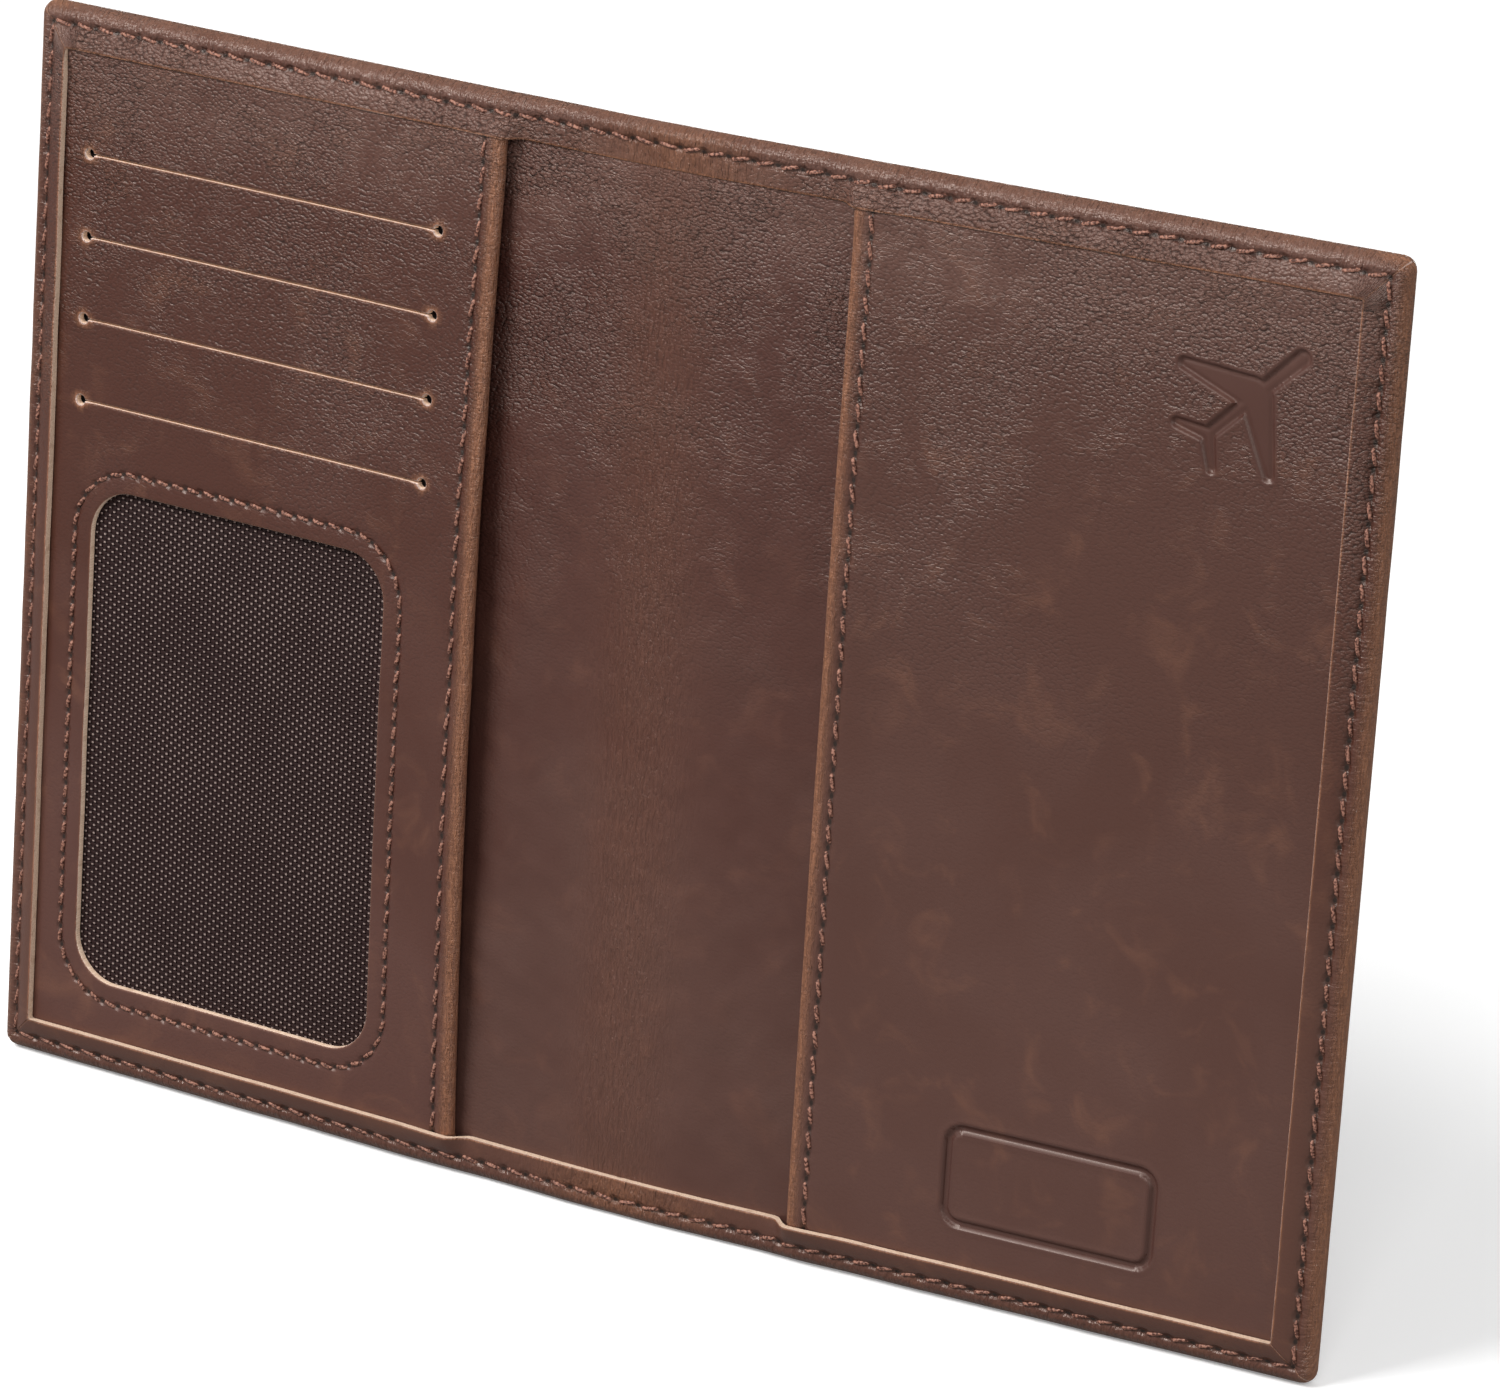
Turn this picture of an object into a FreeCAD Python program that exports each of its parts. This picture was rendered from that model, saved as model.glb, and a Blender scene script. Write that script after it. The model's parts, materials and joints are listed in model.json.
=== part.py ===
"""Travel document organizer: a leather bifold wallet for a passport and cards.

The wallet stands open on its bottom edges. Millimetres, +Z up. The inside faces -Y and the outside
faces +Y. The origin is the middle of the spine's bottom edge.

Every cover is built flat beside the spine and is then turned back about its fold line by REST_LEAN.
Inside the builders, u is the distance from the spine's centre towards a cover's outer edge, and w is
the depth from the outside face of the wallet towards the inside.
"""
import FreeCAD, Part
import math
import os

V = FreeCAD.Vector
LEFT = -1
RIGHT = 1

# --- Driving dimensions ---------------------------------------------------------------------------
HEIGHT = 148.0              # overall height of the open wallet
HALF_WIDTH = 100.5          # spine centre to a cover's outer edge
SPINE_WIDTH = 14.0          # fold line to fold line
REST_LEAN = 2.5             # degrees each cover is bent back past flat
FOLD_MAX = 90.0             # degrees each cover can turn in from flat
FOLD_BACK = 12.5            # degrees each cover can turn back from flat

# --- Layers, from the outside in ------------------------------------------------------------------
GAP = 0.02                  # clearance between layers that touch in the real wallet
COVER = 1.0                 # outer leather
BOARD = 0.3                 # stiffener board
LINING = 0.4                # inside lining leather
POCKET = 0.9                # room between the lining and a pocket panel
PANEL = 1.0                 # pocket panel leather
TURNED = 0.85               # the same leather, thinned where it folds behind a panel's edge
HEM = 1.1                   # outer leather turned over the inside
LINER = 0.13                # fabric liner sheet
LINER_STEP = 0.16           # depth from one liner to the next
MESH = 0.2                  # window mesh

BOARD_W = COVER + GAP
LINING_W = BOARD_W + BOARD + GAP
POCKET_W = LINING_W + LINING + 2 * GAP
PANEL_W = POCKET_W + POCKET
HEM_W = PANEL_W + PANEL + GAP
THICKNESS = HEM_W + HEM                 # a cover, measured over its turned hem
LOW_HEM_W = LINING_W + LINING + GAP
SPINE_THICKNESS = LOW_HEM_W + HEM       # where no panel lies under the hem
BACK_Y = SPINE_THICKNESS / 2            # y of the outside face
FOLD_W = COVER / 2                      # depth of the fold lines
RELIEF_GAP = 0.05                       # half the clearance left along a fold line
RELIEF_INSIDE = 1.5                     # degrees of extra room on the inside of a fold line
RELIEF_OUTSIDE = 1.0                    # and on its outside

# --- Turned hem -----------------------------------------------------------------------------------
HEM_SIDE = 5.4
HEM_TOP = 5.7
HEM_BOTTOM = 5.4
WRAP = 0.9                  # leather round the edge
CORNER_RADIUS = 2.5
EDGE_RADIUS = 1.2           # rolled edge of a cover
SPINE_EDGE_RADIUS = 0.7     # rolled edge where no panel lies under the hem
SHEET_MARGIN = WRAP + 0.3   # inner sheets end this far inside the outline
BOARD_SETBACK = 7.0         # bare leather beside a fold line, where the cover bends
BOARD_RADIUS = 1.5

# --- Pocket panels --------------------------------------------------------------------------------
PANEL_EDGE = 25.5           # spine centre to a panel's turned inner edge
TURNED_STRIP = 6.5          # width folded behind that edge
TURNED_RADIUS = 0.55
TURNED_MARGIN = 0.5         # the folded strip ends this far from the hems and from other sheets
SLOT_COUNT = 4
SLOT_NEAR = 34.6            # u of a slot's end near the spine
SLOT_LENGTH = 56.4
SLOT_TOP = 128.5            # z of the highest slot
SLOT_PITCH = 11.3
SLOT_CUT = 0.4
SLOT_HOLE_RADIUS = 0.62
WINDOW_NEAR = 39.7
WINDOW_WIDTH = 48.7
WINDOW_BOTTOM = 13.1
WINDOW_HEIGHT = 70.0
WINDOW_RADIUS = 6.5
MESH_MARGIN = 3.6           # mesh hidden behind the window's edge
LINER_SIDE = 2.0            # liner beyond a slot's ends
LINER_ABOVE = 4.0           # liner above its slot
POCKET_DEPTH = 87.0         # slot to the bottom of its pocket, for a card stood on end

# --- Marks pressed into the passport panel ----------------------------------------------------------
MARK_DEPTH = 0.2
PLANE_CENTRE = (80.8, 126.7)
PLANE_HEADING = 45.0        # degrees
PLANE_BODY = [(-8.4, 0.85), (9.5, 1.0), (10.4, 0.7), (10.7, 0.0), (10.4, -0.7), (9.5, -1.0), (-8.4, -0.85)]
PLANE_WING = [(3.8, 0.7), (-2.9, 9.5), (-4.5, 9.5), (-1.7, 0.7)]
PLANE_TAIL = [(-6.6, 0.5), (-8.9, 4.1), (-10.2, 4.1), (-8.4, 0.5)]
FRAME_CENTRE = (62.5, 17.5)
FRAME_SIZE = (29.0, 13.0)
FRAME_LINE = 0.9

# --- Stitches -------------------------------------------------------------------------------------
STITCH_PITCH = 3.5
STITCH_LENGTH = 2.7
STITCH_WIDTH = 0.55
STITCH_HEIGHT = 0.2
STITCH_SLANT = 9.0          # degrees off the seam
STITCH_LIFT = 0.012         # clearance over the leather
SEAM_INSET = 2.5            # perimeter seam to the outer edge
SEAM_START = 4.3            # fold line to a cover's first stitch
SEAM_CLEAR = 0.1            # least room between a stitch and the step in the hem
PANEL_SEAM_MARGIN = 0.4     # least room between a panel's last stitch and the hem
PANEL_SEAM = 2.8            # panel seam to the panel's turned edge
WINDOW_SEAM = 2.7           # window seam to the window
WINDOW_PITCH = 2.6
WINDOW_STITCH = 2.0

SPINE_HALF = SPINE_WIDTH / 2
SLOT_FAR = SLOT_NEAR + SLOT_LENGTH
WINDOW_FAR = WINDOW_NEAR + WINDOW_WIDTH
WINDOW_TOP = WINDOW_BOTTOM + WINDOW_HEIGHT
SHEET_FAR = HALF_WIDTH - SHEET_MARGIN
SHEET_LOW = SHEET_MARGIN
SHEET_HIGH = HEIGHT - SHEET_MARGIN
OVER = 1.0                  # how far a cutting tool runs past what it cuts


# --- Basic shapes ---------------------------------------------------------------------------------
def slab(side, u, w, z):
    """A box from pairs of limits: u outwards from the spine, w inwards from the outside, z up."""
    low_x = side * u[0] if side == RIGHT else side * u[1]
    corner = V(low_x, BACK_Y - w[1], z[0])
    return Part.makeBox(u[1] - u[0], w[1] - w[0], z[1] - z[0], corner)


def vertical_edges(shape):
    return [edge for edge in shape.Edges if is_along(edge, V(0, 0, 1))]


def depth_edges(shape):
    return [edge for edge in shape.Edges if is_along(edge, V(0, 1, 0))]


def is_along(edge, direction):
    if not isinstance(edge.Curve, Part.Line):
        return False
    return abs(abs(edge.Curve.Direction.dot(direction)) - 1) < 1e-6


def rounded_sheet(side, u, w, z, radius):
    """A flat sheet whose four corners are rounded."""
    sheet = slab(side, u, w, z)
    return sheet.makeFillet(radius, depth_edges(sheet))


def fold_line(side):
    return V(side * SPINE_HALF, BACK_Y - FOLD_W, 0)


def crease_relief(side):
    """The room a fold line needs: a wedge open to the inside, and a narrow one open to the outside.

    Each cover and the spine give up half of it, so a cover turns through its range and stays clear.
    """
    axis = fold_line(side)
    reach = THICKNESS
    inside = reach * math.tan(math.radians(FOLD_MAX / 2 + RELIEF_INSIDE)) + RELIEF_GAP
    outside = reach * math.tan(math.radians(FOLD_BACK / 2 + RELIEF_OUTSIDE)) + RELIEF_GAP
    outline = [(-inside, -reach), (-RELIEF_GAP, 0), (-outside, reach),
               (outside, reach), (RELIEF_GAP, 0), (inside, -reach)]
    points = [V(axis.x + dx, axis.y + dy, -OVER) for dx, dy in outline]
    face = Part.Face(Part.makePolygon(points + points[:1]))
    return face.extrude(V(0, 0, HEIGHT + 2 * OVER))


def lean_back(side, shape):
    """Turn a flat cover piece to its resting angle."""
    turned = shape.copy()
    turned.rotate(fold_line(side), V(0, 0, 1), side * REST_LEAN)
    return turned


# --- Outer leather --------------------------------------------------------------------------------
def rolled_block(side, u, w, radius, corner_radius):
    """A full-height block with rolled outer edges, open-ended towards the spine."""
    block = slab(side, u, w, (0, HEIGHT))
    if corner_radius:
        far_x = side * u[1]
        corners = [edge for edge in depth_edges(block) if abs(edge.CenterOfMass.x - far_x) < 1e-6]
        block = block.makeFillet(corner_radius, corners)
    near_x = side * u[0]
    rims = [edge for edge in block.Edges if is_rim(edge, near_x)]
    return block.makeFillet(radius, rims)


def is_rim(edge, near_x):
    """True for the edges that run round a block's front and back faces, but not at its near end."""
    box = edge.BoundBox
    flat_in_depth = box.YLength < 1e-6
    at_near_end = abs(box.XMin - near_x) < 1e-6 and abs(box.XMax - near_x) < 1e-6
    return flat_in_depth and not at_near_end


def hem_cuts(side, near, far, hem_w, front_w):
    """The space inside the leather, and the mouth between its turned hems."""
    inner_z = (WRAP, HEIGHT - WRAP)
    mouth_z = (HEM_BOTTOM, HEIGHT - HEM_TOP)
    inner = slab(side, (near, far), (COVER, hem_w), inner_z)
    mouth_far = min(far, HALF_WIDTH - HEM_SIDE)
    mouth = slab(side, (near - OVER, mouth_far), (COVER, front_w + OVER), mouth_z)
    return [inner, mouth]


def cover_leather(side):
    """A cover's outer skin, turned over a panel, and stepping down to the lining beside the spine."""
    step = PANEL_EDGE - WRAP
    high = rolled_block(side, (step, HALF_WIDTH), (0, THICKNESS), EDGE_RADIUS, CORNER_RADIUS)
    low = rolled_block(side, (SPINE_HALF, step), (0, SPINE_THICKNESS), SPINE_EDGE_RADIUS, 0)
    skin = high.fuse(low)
    cuts = hem_cuts(side, PANEL_EDGE - GAP, HALF_WIDTH - WRAP, HEM_W, THICKNESS)
    cuts += hem_cuts(side, SPINE_HALF - OVER, PANEL_EDGE, LOW_HEM_W, SPINE_THICKNESS)
    cuts.append(crease_relief(side))
    for tool in cuts:
        skin = skin.cut(tool)
    return lean_back(side, skin.removeSplitter())


def spine_leather():
    """The outer skin between the two fold lines, turned in at the top and the bottom."""
    block = Part.makeBox(SPINE_WIDTH, SPINE_THICKNESS, HEIGHT, V(-SPINE_HALF, BACK_Y - SPINE_THICKNESS, 0))
    rims = [edge for edge in block.Edges if is_along(edge, V(1, 0, 0))]
    skin = block.makeFillet(SPINE_EDGE_RADIUS, rims)
    wide = SPINE_HALF + OVER
    inner = slab(RIGHT, (-wide, wide), (COVER, LOW_HEM_W), (WRAP, HEIGHT - WRAP))
    mouth = slab(RIGHT, (-wide, wide), (COVER, SPINE_THICKNESS + OVER), (HEM_BOTTOM, HEIGHT - HEM_TOP))
    for tool in (inner, mouth, crease_relief(LEFT), crease_relief(RIGHT)):
        skin = skin.cut(tool)
    return skin.removeSplitter()


# --- Sheets between the outer leather and the pockets -----------------------------------------------
def stiffener_board(side):
    near = SPINE_HALF + BOARD_SETBACK
    board = rounded_sheet(side, (near, SHEET_FAR), (BOARD_W, BOARD_W + BOARD), (SHEET_LOW, SHEET_HIGH),
                          BOARD_RADIUS)
    return lean_back(side, board)


def cover_lining(side):
    sheet = slab(side, (SPINE_HALF, SHEET_FAR), (LINING_W, LINING_W + LINING), (SHEET_LOW, SHEET_HIGH))
    return lean_back(side, sheet.cut(crease_relief(side)))


def spine_lining():
    sheet = slab(RIGHT, (-SPINE_HALF, SPINE_HALF), (LINING_W, LINING_W + LINING), (SHEET_LOW, SHEET_HIGH))
    return sheet.cut(crease_relief(LEFT)).cut(crease_relief(RIGHT))


# --- Pocket panels --------------------------------------------------------------------------------
def pocket_panel(side):
    """A leather panel whose inner edge is folded behind itself."""
    face = slab(side, (PANEL_EDGE, SHEET_FAR), (PANEL_W, PANEL_W + PANEL), (SHEET_LOW, SHEET_HIGH))
    strip_z = (HEM_BOTTOM + TURNED_MARGIN, HEIGHT - HEM_TOP - TURNED_MARGIN)
    strip = slab(side, (PANEL_EDGE, PANEL_EDGE + TURNED_STRIP), (PANEL_W - TURNED, PANEL_W), strip_z)
    panel = face.fuse(strip).removeSplitter()
    fold_x = side * PANEL_EDGE
    inner_y = BACK_Y - PANEL_W
    fold = [edge for edge in vertical_edges(panel)
            if abs(edge.CenterOfMass.x - fold_x) < 1e-6 and abs(edge.CenterOfMass.y - inner_y) > 1e-6]
    return panel.makeFillet(TURNED_RADIUS, fold)


def slot_heights():
    return [SLOT_TOP - SLOT_PITCH * index for index in range(SLOT_COUNT)]


def slot_cutter(side, height):
    """A card slot: a straight cut that ends in a punched hole at both ends."""
    depth = (PANEL_W - OVER, PANEL_W + PANEL + OVER)
    cutter = slab(side, (SLOT_NEAR, SLOT_FAR), depth, (height - SLOT_CUT / 2, height + SLOT_CUT / 2))
    for end in (SLOT_NEAR, SLOT_FAR):
        start = V(side * end, BACK_Y - depth[1], height)
        cutter = cutter.fuse(Part.makeCylinder(SLOT_HOLE_RADIUS, depth[1] - depth[0], start, V(0, 1, 0)))
    return cutter


def card_panel():
    panel = pocket_panel(LEFT)
    depth = (PANEL_W - OVER, PANEL_W + PANEL + OVER)
    window = rounded_sheet(LEFT, (WINDOW_NEAR, WINDOW_FAR), depth, (WINDOW_BOTTOM, WINDOW_TOP),
                           WINDOW_RADIUS)
    panel = panel.cut(window)
    for height in slot_heights():
        panel = panel.cut(slot_cutter(LEFT, height))
    return lean_back(LEFT, panel)


def pressed_shape(outline):
    """A cutter for a mark pressed into the passport panel, from its outline as (u, z) points."""
    front = BACK_Y - PANEL_W - PANEL
    points = [V(u, front + MARK_DEPTH, z) for u, z in outline]
    face = Part.Face(Part.makePolygon(points + points[:1]))
    return face.extrude(V(0, -MARK_DEPTH - OVER, 0))


def plane_cutter():
    """A plain aircraft sign: body, swept wings and tail, flying up and away from the spine."""
    outlines = [PLANE_BODY]
    for limb in (PLANE_WING, PLANE_TAIL):
        outlines += [[(along, up * across) for along, across in limb] for up in (1, -1)]
    turn = math.radians(PLANE_HEADING)
    cutter = None
    for outline in outlines:
        turned = [(PLANE_CENTRE[0] + along * math.cos(turn) - across * math.sin(turn),
                   PLANE_CENTRE[1] + along * math.sin(turn) + across * math.cos(turn))
                  for along, across in outline]
        piece = pressed_shape(turned)
        cutter = piece if cutter is None else cutter.fuse(piece)
    return cutter


def frame_cutter():
    """An empty rectangular frame."""
    def rectangle(shrink):
        wide = FRAME_SIZE[0] / 2 - shrink
        tall = FRAME_SIZE[1] / 2 - shrink
        return pressed_shape([(FRAME_CENTRE[0] + du * wide, FRAME_CENTRE[1] + dz * tall)
                              for du, dz in ((-1, -1), (1, -1), (1, 1), (-1, 1))])
    return rectangle(0).cut(rectangle(FRAME_LINE))


def passport_panel():
    panel = pocket_panel(RIGHT).cut(plane_cutter()).cut(frame_cutter())
    return lean_back(RIGHT, panel)


def window_mesh():
    sheet = rounded_sheet(
        LEFT,
        (WINDOW_NEAR - MESH_MARGIN, WINDOW_FAR + MESH_MARGIN),
        (PANEL_W - GAP - MESH, PANEL_W - GAP),
        (WINDOW_BOTTOM - MESH_MARGIN, WINDOW_TOP + MESH_MARGIN),
        WINDOW_RADIUS,
    )
    return lean_back(LEFT, sheet)


def card_pocket_liner(index):
    """The sheet behind one slot. The highest slot's liner lies deepest."""
    top = slot_heights()[index] + LINER_ABOVE
    near_w = POCKET_W + LINER_STEP * index
    sheet = slab(LEFT, (SLOT_NEAR - LINER_SIDE, SLOT_FAR + LINER_SIDE), (near_w, near_w + LINER),
                 (top - LINER_ABOVE - POCKET_DEPTH, top))
    return lean_back(LEFT, sheet)


def passport_pocket_lining():
    near = PANEL_EDGE + TURNED_STRIP + TURNED_MARGIN
    far_w = PANEL_W - GAP
    sheet = slab(RIGHT, (near, SHEET_FAR), (far_w - LINER, far_w), (SHEET_LOW, SHEET_HIGH))
    return lean_back(RIGHT, sheet)


# --- Stitching ------------------------------------------------------------------------------------
def stitch(side, u, z, angle, w, inside, length=STITCH_LENGTH):
    """One stitch that lies on a surface at depth w, along angle in the u-z plane."""
    low = w + STITCH_LIFT if inside else w - STITCH_LIFT - STITCH_HEIGHT
    body = slab(RIGHT, (-length / 2, length / 2), (low, low + STITCH_HEIGHT),
                (-STITCH_WIDTH / 2, STITCH_WIDTH / 2))
    body.rotate(V(0, 0, 0), V(0, 1, 0), -side * (angle + STITCH_SLANT))
    body.translate(V(side * u, 0, z))
    return body


def spaced(start, end, pitch):
    """Even places from start to end, as close to the pitch as they fit."""
    steps = max(1, round(abs(end - start) / pitch))
    return [start + (end - start) * index / steps for index in range(steps + 1)]


def cover_seam():
    """Places round a cover's seam, as (u, z, angle)."""
    near = SPINE_HALF + SEAM_START
    far = HALF_WIDTH - SEAM_INSET
    low = SEAM_INSET
    high = HEIGHT - SEAM_INSET
    half = STITCH_PITCH / 2
    seam = [(u, high, 0) for u in spaced(near, far - half, STITCH_PITCH)]
    seam += [(far, z, 90) for z in spaced(high - half, low + half, STITCH_PITCH)]
    seam += [(u, low, 0) for u in spaced(far - half, near, STITCH_PITCH)]
    return seam


def perimeter_stitching(side):
    step = PANEL_EDGE - WRAP
    stitches = []
    for u, z, angle in cover_seam():
        stitches.append(stitch(side, u, z, angle, 0, False))
        if abs(u - step) > STITCH_LENGTH / 2 + SEAM_CLEAR:
            depth = SPINE_THICKNESS if u < step else THICKNESS
            stitches.append(stitch(side, u, z, angle, depth, True))
    return lean_back(side, Part.makeCompound(stitches))


def spine_stitching():
    stitches = []
    for z in (SEAM_INSET, HEIGHT - SEAM_INSET):
        for x in (-1.5, -0.5, 0.5, 1.5):
            stitches.append(stitch(RIGHT, x * STITCH_PITCH, z, 0, 0, False))
        for x in (-0.5, 0.5):
            stitches.append(stitch(RIGHT, x * STITCH_PITCH, z, 0, SPINE_THICKNESS, True))
    return Part.makeCompound(stitches)


def panel_edge_stitching(side):
    margin = STITCH_LENGTH / 2 + PANEL_SEAM_MARGIN
    heights = spaced(HEM_BOTTOM + margin, HEIGHT - HEM_TOP - margin, STITCH_PITCH)
    front = PANEL_W + PANEL
    stitches = [stitch(side, PANEL_EDGE + PANEL_SEAM, z, 90, front, True) for z in heights]
    return lean_back(side, Part.makeCompound(stitches))


def window_stitching():
    """Stitches round the window: four straight runs, and an arc at each corner."""
    radius = WINDOW_RADIUS + WINDOW_SEAM
    near = WINDOW_NEAR - WINDOW_SEAM
    far = WINDOW_FAR + WINDOW_SEAM
    low = WINDOW_BOTTOM - WINDOW_SEAM
    high = WINDOW_TOP + WINDOW_SEAM
    places = []
    for z in (low, high):
        places += [(u, z, 0) for u in spaced(near + radius, far - radius, WINDOW_PITCH)]
    for u in (near, far):
        places += [(u, z, 90) for z in spaced(low + radius, high - radius, WINDOW_PITCH)]
    corners = [(far - radius, high - radius, 0), (near + radius, high - radius, 90),
               (near + radius, low + radius, 180), (far - radius, low + radius, 270)]
    steps = round(radius * math.pi / 2 / WINDOW_PITCH)
    for centre_u, centre_z, start in corners:
        for index in range(1, steps):
            bearing = start + 90 * index / steps
            across = radius * math.cos(math.radians(bearing))
            up = radius * math.sin(math.radians(bearing))
            places.append((centre_u + across, centre_z + up, bearing + 90))
    front = PANEL_W + PANEL
    stitches = [stitch(LEFT, u, z, angle, front, True, WINDOW_STITCH) for u, z, angle in places]
    return lean_back(LEFT, Part.makeCompound(stitches))


# --- All pieces -----------------------------------------------------------------------------------
def pieces():
    """Every node's name and shape."""
    parts = {
        "spine_leather": spine_leather(),
        "spine_lining": spine_lining(),
        "spine_stitching": spine_stitching(),
        "card_panel": card_panel(),
        "window_mesh": window_mesh(),
        "window_pocket_lining": card_pocket_liner(SLOT_COUNT - 1),
        "window_stitching": window_stitching(),
        "card_panel_edge_stitching": panel_edge_stitching(LEFT),
        "passport_panel": passport_panel(),
        "passport_pocket_lining": passport_pocket_lining(),
        "passport_panel_edge_stitching": panel_edge_stitching(RIGHT),
    }
    for index in range(SLOT_COUNT - 1):
        parts["card_pocket_liner_%d" % (index + 1)] = card_pocket_liner(index)
    for name, side in (("left", LEFT), ("right", RIGHT)):
        parts[name + "_cover_leather"] = cover_leather(side)
        parts[name + "_stiffener_board"] = stiffener_board(side)
        parts[name + "_lining"] = cover_lining(side)
        parts[name + "_perimeter_stitching"] = perimeter_stitching(side)
    return parts


os.makedirs("parts", exist_ok=True)
for node, shape in pieces().items():
    shape.exportStep("parts/%s.step" % node)
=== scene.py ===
"""The looks of an open leather travel wallet, built round its CAD frame.

Flat coordinates are used while a piece is built: x across from the spine's centre, w the depth from
the outside of the wallet towards the inside, and z up, all in millimetres. u is the distance from the
spine's centre on either side. to_space() bends the covers back to rest and gives the frame's metres.
"""
import json
import math

import bmesh
import bpy
import numpy as np
from mathutils import Matrix, Vector
from mathutils.geometry import delaunay_2d_cdt

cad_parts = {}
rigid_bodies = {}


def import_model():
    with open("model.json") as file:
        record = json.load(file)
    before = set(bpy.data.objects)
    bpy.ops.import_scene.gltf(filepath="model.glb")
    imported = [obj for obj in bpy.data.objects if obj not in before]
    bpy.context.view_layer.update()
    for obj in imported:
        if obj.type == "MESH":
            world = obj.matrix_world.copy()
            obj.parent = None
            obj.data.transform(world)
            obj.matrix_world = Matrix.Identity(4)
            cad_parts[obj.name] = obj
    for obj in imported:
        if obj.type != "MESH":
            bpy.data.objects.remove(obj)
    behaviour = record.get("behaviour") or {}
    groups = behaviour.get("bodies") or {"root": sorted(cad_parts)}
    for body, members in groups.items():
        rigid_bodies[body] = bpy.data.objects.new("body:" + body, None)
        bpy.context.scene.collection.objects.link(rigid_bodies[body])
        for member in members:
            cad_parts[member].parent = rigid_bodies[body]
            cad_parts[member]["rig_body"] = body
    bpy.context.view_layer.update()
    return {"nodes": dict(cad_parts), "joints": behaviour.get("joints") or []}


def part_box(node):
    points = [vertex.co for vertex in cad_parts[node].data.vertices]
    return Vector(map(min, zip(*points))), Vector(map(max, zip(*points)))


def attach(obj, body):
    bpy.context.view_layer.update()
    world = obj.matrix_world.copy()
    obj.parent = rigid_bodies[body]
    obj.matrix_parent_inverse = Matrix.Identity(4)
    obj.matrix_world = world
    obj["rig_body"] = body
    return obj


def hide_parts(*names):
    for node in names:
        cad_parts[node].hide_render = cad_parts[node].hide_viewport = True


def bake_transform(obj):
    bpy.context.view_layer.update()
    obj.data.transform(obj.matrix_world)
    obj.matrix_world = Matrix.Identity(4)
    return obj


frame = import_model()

# --- Sizes read from the frame ----------------------------------------------------------------------
MM = 0.001
LEFT, RIGHT = -1, 1
SIDE_NAME = {LEFT: "left", RIGHT: "right"}
REST_LEAN = math.radians(2.5)       # each cover is bent back this far at rest
LOW, HIGH = 0, 1                    # the two corners of a box
U, W, Z = 0, 1, 2                   # the axes of a flat point

JOINT = {joint["name"]: joint for joint in frame["joints"]}
FOLD_X = JOINT["right_cover_fold"]["pos_m"][0] / MM
FOLD_Y = JOINT["right_cover_fold"]["pos_m"][1] / MM
BACK_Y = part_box("spine_leather")[HIGH].y / MM


def flat_box(node):
    """A CAD node's limits with its cover turned flat, as lowest and highest (u, w, z)."""
    points = np.array([vertex.co for vertex in frame["nodes"][node].data.vertices]) / MM
    body = frame["nodes"][node]["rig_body"]
    side = {"left_cover": LEFT, "right_cover": RIGHT}.get(body, 0)
    angle = side * REST_LEAN
    dx = points[:, 0] - side * FOLD_X
    dy = points[:, 1] - FOLD_Y
    x = side * FOLD_X + dx * math.cos(angle) + dy * math.sin(angle)
    y = FOLD_Y - dx * math.sin(angle) + dy * math.cos(angle)
    u = x * side if side else x
    flat = np.stack([u, BACK_Y - y, points[:, 2]], axis=1)
    return flat.min(axis=0), flat.max(axis=0)


COVER_BOX = flat_box("left_cover_leather")
PANEL_BOX = flat_box("card_panel")
LINING_BOX = flat_box("left_lining")
MESH_BOX = flat_box("window_mesh")
LINERS = ["card_pocket_liner_1", "card_pocket_liner_2", "card_pocket_liner_3", "window_pocket_lining"]
LINER_BOXES = [flat_box(node) for node in LINERS]
PASSPORT_LINING_BOX = flat_box("passport_pocket_lining")

HALF_WIDTH = COVER_BOX[HIGH][U]
HEIGHT = COVER_BOX[HIGH][Z]
THICKNESS = COVER_BOX[HIGH][W]
SPINE_THICKNESS = flat_box("spine_leather")[HIGH][W]
PANEL_EDGE = PANEL_BOX[LOW][U]
PANEL_FAR = PANEL_BOX[HIGH][U]
PANEL_FRONT = PANEL_BOX[HIGH][W]
SHEET_LOW = PANEL_BOX[LOW][Z]
SHEET_HIGH = PANEL_BOX[HIGH][Z]
LINING_FRONT = LINING_BOX[HIGH][W]

# --- Sizes of the leather work ----------------------------------------------------------------------
COVER = 1.0                 # outer leather
HEM = 1.1                   # outer leather turned over the inside
PANEL = 1.0                 # pocket panel leather
WRAP = 0.9                  # leather round the edge
HEM_SIDE = 5.4
HEM_TOP = 5.7
HEM_BOTTOM = 5.4
ROLL_DROP = 1.25            # the rolled edge is this much thinner than the hem over a panel
TOP_SKIVE = 0.5             # the top hem is pared down this much at its inner edge
TOP_LIFT = 0.25             # the sheets under the top hem stand this much higher
CORNER_RADIUS = 1.9
FLOOR_INSET = 7.0           # the flat middle of the outer leather starts this far in
CELL = 0.9                  # size of a leather mesh cell
BEND_HALF = 6.5             # at rest the leather bends over this much on each side of a fold line
FOLD_RADIUS = 1.15          # outer radius of a panel's turned edge
TURNED_STRIP = 6.5
EDGE_LIFT = 0.42            # a turned edge stands this much higher than its panel
CARD_BOW = 2.0              # how far the card panel's free edge stands open at mid-height
PASSPORT_BOW = 0.5
RAW_LIP = 0.12              # rounding of a cut edge

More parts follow.
